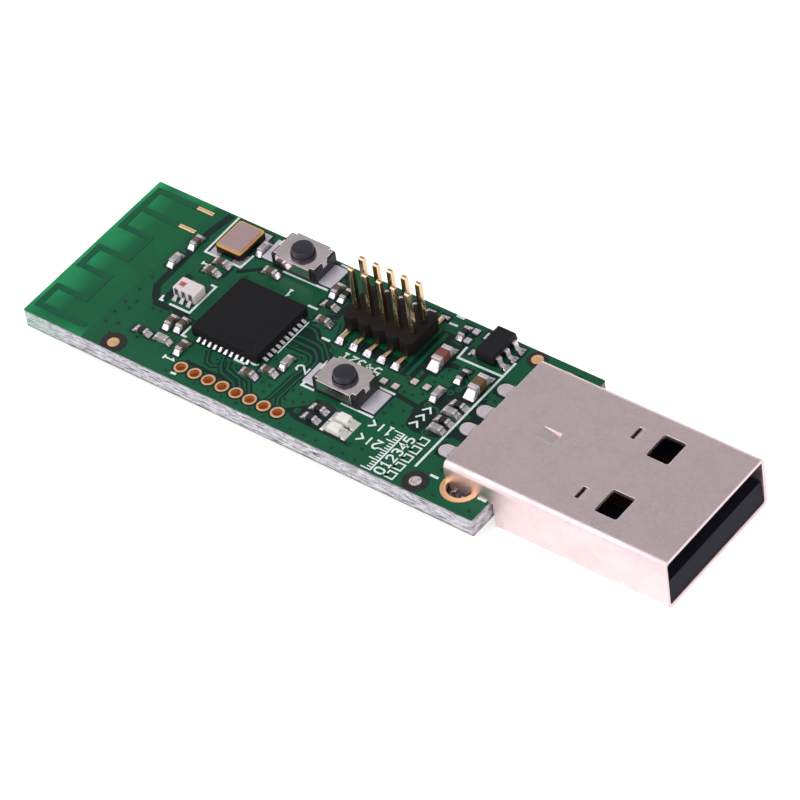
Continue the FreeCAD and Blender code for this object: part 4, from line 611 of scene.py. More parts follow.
class Relief:
    """Thin raised shapes on one side of the board, in one mesh. Lengths are in millimetres.

    Each shape lies one layer step over the last, so that no two share a plane.
    """

    def __init__(self, level, rise=1):
        self.shape = bmesh.new()
        self.level = level
        self.rise = rise

    def points(self, outline, level):
        """Mesh points at one level."""
        return [self.shape.verts.new((x * MM, y * MM, level * MM)) for x, y in outline]

    def wall(self, first, second, smooth=False):
        """Faces between two closed rows of points."""
        for index in range(len(first)):
            after = (index + 1) % len(first)
            face = self.shape.faces.new((first[index], first[after], second[after], second[index]))
            face.smooth = smooth

    def plate(self, outline, sunk=0.02):
        """A flat shape with upright sides that reach down by the sunk depth."""
        self.level += LAYER_STEP * self.rise
        top = self.points(outline, self.level)
        foot = self.points(outline, self.level - sunk * self.rise)
        self.shape.faces.new(top)
        self.wall(foot, top)

    def box(self, x1, y1, x2, y2):
        """A rectangle between two corners."""
        self.plate([(x1, y1), (x2, y1), (x2, y2), (x1, y2)])

    def strip(self, points, width):
        """A line of even width with mitred corners."""
        path = [Vector(point) for point in points]
        runs = [(b - a).normalized() for a, b in zip(path, path[1:])]
        left, right = [], []
        for index, point in enumerate(path):
            before = runs[max(0, index - 1)]
            after = runs[min(index, len(runs) - 1)]
            side = Vector((-(before + after).y, (before + after).x)).normalized()
            reach = width / 2 / max(0.5, side.dot(Vector((-after.y, after.x))))
            left.append(tuple(point + side * reach))
            right.append(tuple(point - side * reach))
        self.plate(right + left[::-1])

    def disc(self, x, y, radius, sides=SPOT_SIDES):
        """A round spot."""
        self.plate(circle(x, y, radius, sides))

    def ring(self, x, y, outer, inner):
        """A flat ring, open in its middle."""
        self.level += LAYER_STEP * self.rise
        rows = [self.points(circle(x, y, radius, RING_SIDES), self.level) for radius in (outer, inner)]
        self.wall(*rows)

    def arc(self, x, y, radius, start, end, width):
        """Part of a circle, with angles in degrees."""
        turns = [math.radians(start + (end - start) * step / ARC_STEPS) for step in range(ARC_STEPS + 1)]
        path = [(x + radius * math.cos(turn), y + radius * math.sin(turn)) for turn in turns]
        self.strip(path, width)

    def sleeve(self, x, y, radius):
        """The plated wall of a hole through the board, flared to its rings at both ends."""
        below_face_and_flare = ((-0.03, 0.055), (0.01, 0.02), (0.09, 0.0))
        levels = [(TOP - depth, flare) for depth, flare in below_face_and_flare]
        levels += [(UNDERSIDE + depth, flare) for depth, flare in reversed(below_face_and_flare)]
        rows = []
        for level, flare in levels:
            rows.append(self.points(circle(x, y, radius + flare, SLEEVE_SIDES), level))
        for upper, lower in zip(rows, rows[1:]):
            self.wall(upper, lower, smooth=True)

    def finish(self, name, material, slot=None):
        """Make the piece, give it its finish and let it ride on the stick."""
        bmesh.ops.recalc_face_normals(self.shape, faces=self.shape.faces)
        mesh = bpy.data.meshes.new(name)
        self.shape.to_mesh(mesh)
        self.shape.free()
        piece = bpy.data.objects.new(name, mesh)
        bpy.context.scene.collection.objects.link(piece)
        mesh.materials.append(material)
        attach(piece, BODY)


# Heights of the thin layers over the board's faces, and of a mark over its part, in millimetres

GAP_HEIGHT = 0.004
RIM_HEIGHT = 0.012
TRACK_HEIGHT = 0.022
WELL_HEIGHT = 0.034
BARE_SPOT_HEIGHT = 0.036
PRINT_HEIGHT = 0.05
MARK_HEIGHT = 0.004
TINNED_DOT_INSET = 0.02

# Radii, gaps and limits of the copper pattern, in millimetres

SLEEVE_RADIUS = 0.372
HOLE_GAP_OUTER = 0.68
HOLE_GAP_INNER = 0.5
VIA_RIM = 0.21
VIA_WELL = 0.115
RINGED_VIA_RIM = 0.27
RINGED_VIA_WELL = 0.12
UNDERSIDE_VIA_RIM = 0.24
UNDERSIDE_VIA_WELL = 0.11
WELL_SIDES = 12
CHIP_PAD_GAP = 0.09
TRACK_GAP = 0.3
UNDERSIDE_TRACK_EXTRA = 0.1
UNDERSIDE_TRACKS = 9
UNDERSIDE_FIRST = -15.0
UNDERSIDE_SPACING = 1.9
GAP_REACH = 7.95
BARE_SPOT_REACH = 7.98
BARE_SPOT_SIDES = 40
SOLDERED_NODES = (
    "chip_part_solder", "bulk_capacitor_solder", "tail_solder", "lead_solder", "switch_one_terminals",
    "switch_two_terminals", "tinned_pads", "crystal_pads",
)

# Sizes of the printed marks, in millimetres, and figures' widths as shares of their height

THIN_LINE_SHARE = 0.6
TICK_SHARE = 1.1
SCALE_X = 3.95
SCALE_LOW = -7.86
SCALE_HIGH = -3.74
SCALE_STROKE = 0.13
SCALE_FIRST = -7.8
SCALE_PITCH = 0.25
SCALE_TICKS = 17
SCALE_LONG_TICK = 0.85
SCALE_SHORT_TICK = 0.45
SCALE_TICK_STROKE = 0.1
SQUARES = 5
SQUARE_LEFT = 5.2
SQUARE_RIGHT = 5.85
SQUARE_FIRST = -7.75
SQUARE_PITCH = 0.95
SQUARE_HEIGHT = 0.62
SQUARE_STROKE = 0.12
FIGURE_WIDTH = 0.65
FIGURE_PITCH = 0.92

# Where the copper pattern and the print lie, in millimetres from the stick's middle

NEAR_VIAS = [
    (-14.88, -7.5), (-12.27, -7.5), (-10.96, -7.5), (-9.75, -7.5), (-8.42, -7.5), (-7.19, -7.5),
    (-5.89, -7.5), (-4.45, -7.5), (-3.48, -7.5), (-2.25, -7.5), (-1.17, -7.5), (0.25, -7.5), (1.29, -7.5),
    (2.37, -7.57),
]
OPEN_VIAS = [
    (-7.4, -4.82), (-8.08, -4.8), (-7.47, -5.57), (-5.66, -5.34), (-4.91, -5.31), (-4.31, -4.95),
    (-5.66, -4.35), (-4.95, -4.34), (-16.25, -4.85), (1.29, -1.9), (1.34, -2.8), (2.42, -1.91),
    (2.44, -3.25), (1.32, -3.71), (3.26, -3.13), (1.12, -6.48), (2.17, -6.44), (9.16, -7.44),
    (12.25, -7.36), (8.23, -5.13), (6.03, -4.83), (1.32, -0.33), (1.98, -0.29), (2.55, 0.18),
    (7.41, 2.23), (2.73, 2.24), (2.8, 3.1), (2.55, 1.59), (-21.95, -5.8), (-21.0, -5.48), (-22.05, -4.67),
    (-21.31, -3.86), (-22.0, -3.45), (-21.29, -3.03), (-21.95, -1.9), (-19.81, -2.97), (-21.97, -0.4),
    (-19.12, -2.89), (-18.47, -2.66), (-22.0, 1.1), (-22.0, 2.6), (-22.0, 4.1), (-16.6, 7.2),
    (-15.9, 3.2), (8.3, 7.3), (11.2, 7.4), (8.6, 5.2), (-20.9, -6.6), (-18.9, -5.9),
]
RINGED_VIAS = [
    (4.98, -2.82), (3.54, -0.53), (4.22, 1.3), (4.54, 1.85), (6.72, -0.1), (6.74, 2.24), (0.74, 0.85),
    (-5.71, 0.38), (4.85, 3.99), (-12.32, -4.75), (-10.75, -4.53), (-7.16, -1.44), (-8.67, -2.49),
    (-4.12, -5.83),
]
DARK_SHAPES = [
    [(-5.1, -6.1), (-3.7, -4.9), (-3.6, -4.1), (-2.6, -4.0), (-1.6, -4.3), (-1.3, -5.6), (-1.2, -6.35),
     (1.3, -6.45), (1.3, -6.75), (-3.9, -6.62)],
    [(2.9, -1.3), (3.3, -2.9), (4.2, -3.2), (5.8, -2.95), (6.9, -2.4), (7.0, 2.4), (5.6, 3.0), (4.1, 2.6),
     (3.5, 1.0), (2.95, -0.6)],
    [(-9.1, -0.55), (-9.1, 1.65), (-7.9, 1.65), (-7.3, 1.15), (-6.4, 0.95), (-5.2, -0.2), (-5.2, -1.6),
     (-5.9, -2.0), (-7.0, -0.95), (-8.2, -0.55)],
    [(-0.1, 0.9), (1.05, 1.0), (1.05, 6.2), (-0.1, 6.2)],
    [(-19.9, -2.0), (-19.9, 1.2), (-19.3, 1.2), (-19.3, -2.0)],
    [(-4.2, 1.2), (-0.2, 1.2), (-0.2, 2.3), (-4.2, 2.3)],
    [(0.83, 2.24), (0.78, 3.4), (0.6, 5.2), (1.1, 5.6), (2.4, 5.3), (2.55, 4.3), (2.54, 3.9), (2.1, 3.75),
     (3.3, 3.87), (3.3, 3.4), (2.54, 3.27), (2.31, 2.92), (2.42, 2.04), (1.43, 1.97)],
    [(6.6, 3.1), (6.92, 4.2), (8.2, 4.14), (8.2, 2.7), (7.3, 2.7)],
    [(6.66, 1.24), (6.99, 1.76), (8.2, 1.72), (8.2, -0.7), (6.69, -0.71), (6.76, 0.26)],
    [(6.78, -1.99), (6.85, -1.4), (8.2, -1.7), (8.2, -2.24), (6.78, -2.2)],
]
DARK_LINES = [
    (0.62, [(-20.95, 7.8), (-21.15, 6.3), (-21.42, 4.5), (-21.15, 3.3), (-21.05, -0.9), (-20.6, -1.6),
            (-19.9, -2.35), (-17.0, -2.4)]),
    (0.42, [(0.75, -0.8), (2.0, -0.95), (2.95, -1.05)]),
    (0.34, [(-14.2, -6.02), (-9.7, -6.02)]),
    (0.36, [(-16.9, 3.2), (-15.6, 4.3), (-14.6, 4.4)]),
    (0.4, [(1.6, 1.0), (1.6, 4.4), (2.2, 5.6), (2.2, 7.3)]),
    (0.3, [(-17.4, 2.2), (-17.4, 3.4)]),
    (0.5, [(-9.0, 2.3), (-7.6, 3.2), (-7.4, 5.0), (-8.8, 6.4), (-9.6, 7.2)]),
]
TRACKS = [
    [(-13.45, -4.3), (-12.85, -5.3), (-12.34, -5.45), (-11.89, -5.2)],
    [(-12.09, -4.3), (-11.74, -5.05), (-11.3, -5.6), (-9.9, -5.95), (-9.45, -6.4)],
    [(-11.45, -4.4), (-11.1, -5.15), (-9.75, -5.45), (-9.32, -5.9), (-8.9, -6.3)],
    [(-10.9, -4.4), (-10.65, -4.9), (-9.02, -5.25), (-8.2, -6.2)],
    [(-6.75, -6.25), (-6.62, -5.7), (-6.55, -3.2), (-6.4, -2.7), (-6.35, -1.4)],
    [(-5.6, -6.25), (-6.06, -5.6), (-6.05, -3.3), (-5.9, -2.6), (-5.95, -1.15)],
    [(-9.05, -0.86), (-8.38, -0.88), (-7.1, -0.83), (-6.64, -0.98), (-6.35, -1.4)],
    [(-9.05, -0.31), (-8.42, -0.28), (-6.97, -0.28), (-6.5, -0.53), (-5.95, -1.15)],
    [(-9.05, 0.18), (-8.33, 0.28), (-6.92, 0.24), (-6.4, -0.02), (-5.6, -0.84)],
    [(-9.05, 1.34), (-8.31, 1.38), (-7.86, 1.21), (-7.31, 0.7), (-6.68, 0.58), (-6.0, 0.05),
     (-5.3, -0.6)],
    [(3.54, -0.5), (4.4, -0.5), (4.9, -1.1)],
    [(4.54, 1.85), (4.9, 2.6), (4.0, 3.1)],
    [(-6.1, 1.2), (-6.15, 1.7), (-6.7, 2.9)],
    [(-9.1, 1.8), (-8.3, 2.4), (-7.2, 2.6)],
    [(5.2, 0.9), (6.3, 0.9), (6.9, 1.5), (8.2, 1.5)],
    [(5.4, -0.8), (6.2, -0.8), (6.9, -1.3), (8.2, -1.3)],
]
BRIGHT_STRIPS = [(0.3, [(0.45, 1.1), (0.45, 6.0)])]
CLEAR_SPOTS = [(-20.03, -7.25, 1.0), (7.32, -7.0, 0.99), (7.58, 7.2, 0.8)]
PRINT_LINES = [
    [(6.48, -5.88), (6.48, 6.1)],
    [(-20.3, 7.9), (-20.22, 3.72), (-16.87, 3.72), (-16.82, 5.2)],
    [(-19.6, -1.98), (-19.88, -1.98), (-19.92, -1.5)],
    [(-19.0, -2.0), (-17.12, -2.0), (-17.14, 1.14), (-17.6, 1.14)],
    [(-4.3, -3.6), (-5.44, -3.6), (-5.3, -0.8), (-4.5, -0.8)],
    [(-1.9, -3.6), (0.97, -3.58)],
    [(-0.5, -0.93), (0.95, -0.93)],
    [(-13.9, 5.02), (-9.8, 5.1)],
    [(-10.6, 7.76), (-9.75, 7.76)],
    [(2.49, 5.62), (2.56, 4.41), (6.4, 4.5)],
    [(-10.1, 3.12), (-9.2, 3.12)],
    [(-16.12, -3.0), (-16.12, -4.08), (-15.7, -4.08)],
    [(-11.3, -4.06), (-10.3, -4.06)],
    [(-0.1, 6.95), (0.63, 6.99)],
]
THIN_LINES = [[(-8.95, 1.75), (-8.95, -1.95)]]
PRINT_ARC = (-9.75, -3.42, 0.34, 200, 340)
PRINT_TICKS = [
    [(-7.16, 0.97), (-6.42, 0.97)],
    [(-14.42, -7.52), (-13.96, -7.47)],
    [(7.88, -5.98), (8.6, -5.98)],
    [(12.05, -6.04), (12.8, -6.04)],
    [(-0.1, 7.86), (0.62, 7.84)],
]
FIGURE_STROKES = {
    "0": [[(0.15, 0), (0, 0.2), (0, 0.8), (0.15, 1), (0.45, 1), (0.6, 0.8), (0.6, 0.2), (0.45, 0),
          (0.15, 0)]],
    "1": [[(0.1, 0.78), (0.32, 1), (0.32, 0)], [(0.08, 0), (0.56, 0)]],
    "2": [[(0, 0.8), (0.15, 1), (0.45, 1), (0.6, 0.8), (0.6, 0.6), (0, 0), (0.62, 0)]],
    "3": [[(0, 0.92), (0.2, 1), (0.45, 1), (0.6, 0.8), (0.58, 0.6), (0.25, 0.52)],
          [(0.3, 0.52), (0.6, 0.4), (0.6, 0.2), (0.45, 0), (0.2, 0), (0, 0.1)]],
    "4": [[(0.46, 0), (0.46, 1), (0, 0.34), (0.66, 0.34)]],
    "5": [[(0.58, 1), (0.05, 1), (0, 0.55), (0.4, 0.6), (0.6, 0.42), (0.6, 0.2), (0.42, 0), (0, 0.04)]],
    ">": [[(0.05, 0.95), (0.6, 0.5), (0.05, 0.05)]],
    "|": [[(0.3, 0), (0.3, 1)]],
}
PRINTED_ROWS = [
    ("2", (-5.9, -2.6), 90, 1.1),
    ("1", (-15.85, -6.2), 270, 1.0),
    ("54321", (-1.35, 0.62), 180, 0.92),
    ("1|<", (3.05, -3.7), 180, 0.9),
    ("2|<", (3.1, -5.2), 180, 0.9),
    (">>>", (4.35, -2.8), 90, 1.0),
    ("1", (-11.9, 3.75), 180, 0.72),
    ("1", (-19.6, 2.9), 270, 0.8),
    ("012345", (4.95, -7.75), 90, 0.88),
]

# Marks on parts, from the middle of the part, and the lights' dies, in millimetres

FILTER_MARK = [(-0.78, -0.2), (-0.3, -0.24), (-0.26, 0.22), (-0.8, 0.2)]
DIE_HALF = 0.13
DIE_RISE = 0.08
LIGHT_MARK_DEPTH = 0.12
LIGHT_MARK_START = 0.005
LIGHT_MARK_END = 0.07
LIGHT_MARK_NEAR = 0.22
LIGHT_MARK_FAR = 0.02


def plated_holes():
    """The middle of each plated hole, at its upper ring, in millimetres."""
    middles = [(low + high) / 2 for low, high in islands("hole_rings")]
    return [middle for middle in middles if middle.z > TOP]


# Pieces


class STICK_OT_board(Operator):
    """Finish the board, its antenna, rings and bare pads"""

    bl_idname = "stick.board"
    bl_label = "Board and copper"

    def execute(self, context):
        look = context.scene.stick_board
        metals = context.scene.stick_metal
        gold = metal("gold_plate", metals.gold, 0.34, grain=0.05, smudge=0.04, metallic=0.75)
        dress(board_finish(look), "circuit_board")
        dress(mask_finish("mask_over_antenna", look.trace_green), "antenna_trace")
        dress(gold, "gold_pads", "hole_rings", rounding=0.012)
        dress(gold, "leg_hole_barrels")

        low, high = max(islands("gold_pads"), key=lambda box: box[0].x - box[0].y)
        middle = (low + high) / 2
        tinned = Relief(high.z + MARK_HEIGHT)
        tinned.disc(middle.x, middle.y, (high.x - low.x) / 2 - TINNED_DOT_INSET)
        # The tinned dot's dark patches are a painted reflection, as on every solder
        finish = solder_finish(
            "dot_solder", tone(240, 230, 240), 0.26, ripple=60, painted_dark_reflection=0.5, metallic=0.6)
        tinned.finish("tinned_dot", finish, "solder")

        sleeves = Relief(TOP)
        for middle in plated_holes():
            sleeves.sleeve(middle.x, middle.y, SLEEVE_RADIUS)
        copper = metal("copper_in_holes", tone(236, 156, 88), grain=0.12, metallic=0.4)
        sleeves.finish("hole_sleeves", copper, "gold")
        return {"FINISHED"}


class STICK_OT_copper_pattern(Operator):
    """Lay the copper gaps, tracks and small through holes on both faces"""

    bl_idname = "stick.copper_pattern"
    bl_label = "Copper pattern"

    def execute(self, context):
        look = context.scene.stick_board
        gap = mask_finish("mask_over_gap", look.gap_green)
        copper = mask_finish("mask_over_track", shaded(look.pour_green, 1.05))
        width = look.track_width / MM
        borders = dict.fromkeys(SOLDERED_NODES, look.pad_gap / MM)
        borders["radio_chip_solder"] = CHIP_PAD_GAP

        gaps = Relief(TOP + GAP_HEIGHT)
        for outline in DARK_SHAPES:
            gaps.plate(outline)
        for line_width, points in DARK_LINES:
            gaps.strip(points, line_width)
        for points in TRACKS:
            gaps.strip(points, width + TRACK_GAP)
        for name, border in borders.items():
            for low, high in islands(name):
                if high.z > TOP:
                    gaps.box(max(low.x - border, ANTENNA_END), low.y - border,
                             high.x + border, min(high.y + border, GAP_REACH))
        for middle in plated_holes():
            gaps.ring(middle.x, middle.y, HOLE_GAP_OUTER, HOLE_GAP_INNER)
        gaps.finish("copper_gaps", gap, "solder_mask")

        tracks = Relief(TOP + TRACK_HEIGHT)
        for points in TRACKS:
            tracks.strip(points, width)
        for strip_width, points in BRIGHT_STRIPS:
            tracks.strip(points, strip_width)
        for x, y in RINGED_VIAS:
            tracks.disc(x, y, RINGED_VIA_RIM)
        tracks.finish("masked_tracks", copper, "masked_copper")

        rims = Relief(TOP + RIM_HEIGHT)
        wells = Relief(TOP + WELL_HEIGHT)
        for x, y in NEAR_VIAS + OPEN_VIAS:
            rims.disc(x, y, VIA_RIM)
            wells.disc(x, y, VIA_WELL, WELL_SIDES)
        for x, y in RINGED_VIAS:
            wells.disc(x, y, RINGED_VIA_WELL, WELL_SIDES)
        rims.finish("small_hole_rims", copper, "masked_copper")
        wells.finish("small_holes", moulding("mask_in_small_hole", tone(7, 28, 25)), "solder_mask")

        spots = Relief(TOP + BARE_SPOT_HEIGHT)
        for spot in CLEAR_SPOTS:
            edge = circle(*spot, BARE_SPOT_SIDES)
            spots.plate([(x, max(-BARE_SPOT_REACH, min(BARE_SPOT_REACH, y))) for x, y in edge])
        laminate = moulding("bare_laminate", tone(31, 23, 26), 0.55, grain=0.25)
        spots.finish("bare_laminate_spots", laminate, "solder_mask")

        below = Relief(UNDERSIDE - GAP_HEIGHT, -1)
        dots = Relief(UNDERSIDE - RIM_HEIGHT, -1)
        for x, y in NEAR_VIAS + OPEN_VIAS + RINGED_VIAS:
            below.disc(x, y, UNDERSIDE_VIA_RIM)
            dots.disc(x, y, UNDERSIDE_VIA_WELL, WELL_SIDES)
        for step in range(UNDERSIDE_TRACKS):
            x = UNDERSIDE_FIRST + UNDERSIDE_SPACING * step
            course = [(x, -5.6), (x + 1.2, -3.9), (x + 1.2, 1.5 + 0.3 * step), (x + 3.0, 4.1)]
            below.strip(course, width + UNDERSIDE_TRACK_EXTRA)
        below.finish("underside_tracks", copper, "masked_copper")
        dots.finish("underside_small_holes", gap, "solder_mask")
        return {"FINISHED"}


class STICK_OT_print(Operator):
    """Print outlines, ticks, plain figures and a small scale on the board"""

    bl_idname = "stick.print_marks"
    bl_label = "Printed marks"

    def execute(self, context):
        look = context.scene.stick_print
        line = look.line_width / MM
        height = look.figure_height / MM
        stroke = look.figure_stroke / MM
        marks = Relief(TOP + PRINT_HEIGHT)
        for share, lines in ((1, PRINT_LINES), (THIN_LINE_SHARE, THIN_LINES), (TICK_SHARE, PRINT_TICKS)):
            for points in lines:
                marks.strip(points, line * share)
        marks.arc(*PRINT_ARC, line)
        for text, corner, turn, share in PRINTED_ROWS:
            print_row(marks, text, corner, math.radians(turn), height * share, stroke)
        print_scale(marks)
        print_squares(marks)
        marks.finish("printed_marks", ink_finish(look.ink))
        return {"FINISHED"}


def print_row(marks, text, corner, turn, height, stroke):
    """Draw figures from strokes, starting at a corner and turned round it."""
    ahead = Vector((math.cos(turn), math.sin(turn)))
    upward = Vector((-ahead.y, ahead.x))
    start = Vector(corner)
    for sign in text:
        mirrored = sign == "<"
        for points in FIGURE_STROKES[">" if mirrored else sign]:
            path = []
            for across, up in points:
                side = FIGURE_WIDTH - across if mirrored else across
                path.append(tuple(start + ahead * side * height + upward * up * height))
            marks.strip(path, stroke)
        start = start + ahead * height * FIGURE_PITCH


def print_scale(marks):
    """Draw a short scale, with every fourth tick long."""
    for step in range(SCALE_TICKS):
        y = SCALE_FIRST + SCALE_PITCH * step
        reach = SCALE_SHORT_TICK if step % 4 else SCALE_LONG_TICK
        marks.strip([(SCALE_X, y), (SCALE_X - reach, y)], SCALE_TICK_STROKE)
    marks.strip([(SCALE_X, SCALE_LOW), (SCALE_X, SCALE_HIGH)], SCALE_STROKE)


def print_squares(marks):
    """Draw a row of little open squares."""
    for step in range(SQUARES):
        low = SQUARE_FIRST + SQUARE_PITCH * step
        high = low + SQUARE_HEIGHT
        outline = [(SQUARE_LEFT, low), (SQUARE_LEFT, high), (SQUARE_RIGHT, high), (SQUARE_RIGHT, low),
                   (SQUARE_LEFT, low), (SQUARE_LEFT, low + 0.3)]
        marks.strip(outline, SQUARE_STROKE)


class STICK_OT_plug(Operator):
    """Finish the plug's shell, moulding and contacts"""

    bl_idname = "stick.plug"
    bl_label = "Plug"

    def execute(self, context):
        metals = context.scene.stick_metal
        bodies = context.scene.stick_body
        # The shell's paler edges are partly wear and partly a painted highlight
        steel = metal("satin_nickel", metals.plug_steel, 0.34, spots=7, grain=0.07, smudge=0.12,
                      wear=0.12, relief=0.9, rounding=0.09)
        dress(steel, "plug_shell")
        dress(moulding("plug_moulding", bodies.plug_moulding, 0.45, spots=9, grain=0.1, gloss=0.12),
              "plug_insulator", rounding=0.04)
        dress(contact_finish(tone(188, 164, 128), tone(236, 226, 232)),
              "power_contact", "data_minus_contact", "data_plus_contact", "ground_contact")
        return {"FINISHED"}


class STICK_OT_radio(Operator):
    """Finish the radio chip, crystal and antenna filter"""

    bl_idname = "stick.radio"
    bl_label = "Radio"

    def execute(self, context):
        metals = context.scene.stick_metal
        bodies = context.scene.stick_body
        epoxy = moulding("chip_epoxy", bodies.chip_moulding, 0.6, spots=16, grain=0.14, gloss=0.15,
                         relief=2)
        dress(epoxy, "radio_chip_body", rounding=0.03)
        dress(metal("tinned_lead", tone(240, 231, 238), 0.24, metallic=0.75),
              "radio_chip_leads", "crystal_pads")
        dress(metal("filter_terminal", tone(168, 160, 166), grain=0.14), "balun_terminals")
        dress(moulding("crystal_ceramic", tone(17, 14, 15), 0.55, gloss=0.2),
              "crystal_base", rounding=0.03)
        dress(metal("crystal_ring_gold", tone(250, 196, 112), 0.34, metallic=0.7),
              "crystal_seal_ring", rounding=0.03)
        nickel = metal("crystal_lid_nickel", metals.lid, 0.42, spots=12, grain=0.1, smudge=0.12,
                       wear=0.04, metallic=0.85)
        dress(nickel, "crystal_lid", rounding=0.025)
        dress(ceramic("filter_ceramic", bodies.filter_ceramic, variation=0.03, roughness=0.4),
              "balun_body", rounding=0.07, segments=3)
        low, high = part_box("balun_body")
        middle = (low + high) / 2 / MM
        mark = Relief(high.z / MM + MARK_HEIGHT)
        mark.plate([(middle.x + x, middle.y + y) for x, y in FILTER_MARK], sunk=0.01)
        mark.finish("filter_direction_mark", moulding("red_mark", tone(196, 88, 92)))
        return {"FINISHED"}


class STICK_OT_switches(Operator):
    """Finish both push switches"""

    bl_idname = "stick.switches"
    bl_label = "Push switches"

    def execute(self, context):
        metals = context.scene.stick_metal
        bodies = context.scene.stick_body
        cover = metal("cover_sheet", metals.cover_steel, 0.12, spots=10, grain=0.05, smudge=0.06,
                      wear=0.06, relief=0.5)
        housing = moulding("housing_moulding", tone(30, 30, 34), 0.42)
        button = moulding("button_moulding", bodies.button, 0.36, spots=10, grain=0.1, wear=0.12)
        spring = metal("dome_steel", tone(206, 204, 204), 0.25)
        tin = metal("terminal_tin", tone(244, 237, 250), grain=0.12, metallic=0.5)
        for switch in ("switch_one", "switch_two"):
            dress(cover, f"{switch}_cover", rounding=0.03)
            dress(housing, f"{switch}_housing", rounding=0.05)
            dress(button, f"{switch}_button", rounding=0.03)
            dress(spring, f"{switch}_dome")
            dress(tin, f"{switch}_terminals", rounding=0.04)
        return {"FINISHED"}


class STICK_OT_header(Operator):
    """Finish the pin header"""

    bl_idname = "stick.header"
    bl_label = "Pin header"

    def execute(self, context):
        metals = context.scene.stick_metal
        bodies = context.scene.stick_body
        body = moulding("header_moulding", bodies.header_moulding, 0.55, spots=12, grain=0.14, gloss=0.2)
        dress(body, "header_body", rounding=0.04)
        dress(metal("pin_gold", metals.pin_gold, 0.1, spots=3, grain=0.02, smudge=0.04, relief=0.05),
              "header_pins", rounding=0.025)
        return {"FINISHED"}


class STICK_OT_power(Operator):
    """Finish the regulator, large capacitors and lights"""

    bl_idname = "stick.power"
    bl_label = "Power and lights"

    def execute(self, context):
        dress(moulding("regulator_epoxy", tone(28, 26, 30), 0.55, gloss=0.2, relief=2),
              "regulator_body", rounding=0.03)
        dress(metal("gull_tin", tone(238, 230, 235), 0.22, metallic=0.8),
              "regulator_leads", rounding=0.02)
        dress(ceramic("input_ceramic", tone(128, 78, 66), variation=0.02),
              "input_capacitor_body", rounding=0.05)
        dress(ceramic("output_ceramic", tone(112, 88, 52), variation=0.02),
              "output_capacitor_body", rounding=0.05)
        dress(metal("bulk_end_plate", tone(236, 226, 230), 0.36, grain=0.1, metallic=0.75),
              "bulk_capacitor_end_caps", rounding=0.07, segments=3)
        dress(lens_finish(context.scene.stick_body.lens), "led_lenses", rounding=0.06, segments=3)
        dress(moulding("light_base", tone(240, 234, 228)), "led_bases")
        dress(metal("light_end_plate", tone(244, 236, 236), metallic=0.5), "led_terminals")
        dies = Relief(0)
        marks = Relief(0)
        for low, high in islands("led_lenses"):
            x, y, _ = (low + high) / 2
            dies.level = low.z + DIE_RISE
            dies.box(x - DIE_HALF, y - DIE_HALF, x + DIE_HALF, y + DIE_HALF)
            marks.level = high.z - LIGHT_MARK_DEPTH
            marks.box(high.x + LIGHT_MARK_START, y - LIGHT_MARK_NEAR,
                      high.x + LIGHT_MARK_END, y + LIGHT_MARK_FAR)
        dies.finish("light_dies", moulding("die_phosphor", tone(150, 132, 70), 0.4))
        marks.finish("light_direction_marks", moulding("green_mark", tone(60, 170, 128)))
        return {"FINISHED"}


class STICK_OT_small_parts(Operator):
    """Finish the small capacitors, resistors and inductors"""

    bl_idname = "stick.small_parts"
    bl_label = "Small parts"

    def execute(self, context):
        dress(ceramic("capacitor_ceramic", tone(98, 80, 70), variation=0.3),
              "capacitor_bodies", rounding=0.025)
        dress(ceramic("resistor_film", tone(26, 24, 26), variation=0.3, roughness=0.4),
              "resistor_bodies", rounding=0.025)
        dress(ceramic("inductor_ceramic", tone(172, 164, 166), variation=0.2),
              "inductor_bodies", rounding=0.025)
        dress(metal("part_end_plate", tone(232, 221, 226), 0.28, grain=0.12, metallic=0.75),
              "chip_part_end_caps", rounding=0.045, segments=3)
        return {"FINISHED"}


class STICK_OT_solder(Operator):
    """Finish and round every solder joint"""

    bl_idname = "stick.solder"
    bl_label = "Solder"

    def execute(self, context):
        # The darker patches of each solder are a painted reflection of dark surroundings in its facets
        solder = solder_finish("reflowed_solder", context.scene.stick_metal.solder)
        dress(solder, "chip_part_solder", rounding=0.07, segments=3)
        dress(solder, "bulk_capacitor_solder", rounding=0.12, segments=3)
        dress(solder, "radio_chip_solder", rounding=0.03)
        foot = solder_finish("foot_solder", tone(216, 207, 219), 0.2, ripple=80, painted_dark_reflection=0.6, metallic=1)
        dress(foot, "lead_solder", rounding=0.07, segments=3)
        tail = solder_finish("tail_pad", tone(240, 226, 234), 0.3, ripple=25, painted_dark_reflection=0.12, metallic=0.5)
        dress(tail, "tail_solder", rounding=0.12, segments=3)
        pad = solder_finish("wetted_pad", tone(240, 230, 238), 0.26, ripple=40, painted_dark_reflection=0.15, metallic=0.6)
        dress(pad, "tinned_pads", rounding=0.03)
        dress(flux_finish(), "leg_solder")
        return {"FINISHED"}


class STICK_OT_studio(Operator):
    """Set the camera, the pale floor, the soft lights and the white surround"""

    bl_idname = "stick.studio"
    bl_label = "Studio"

    def execute(self, context):
        look = context.scene.stick_studio
        set_camera(context.scene, look)
        set_floor(look)
        set_surround(context.scene)
        aim = Vector(look.aim)
        add_lamp("key_light", aim, offset=(-0.28, -0.30, 0.46), size=0.6, share=look.key_share)
        add_lamp("fill_light", aim, offset=(0.42, -0.26, 0.22), size=0.3, share=look.fill_share)
        context.scene.view_settings.view_transform = "Standard"
        return {"FINISHED"}


FLOOR_REACH = 1.2
FLOOR_GAP = 0.03 * MM


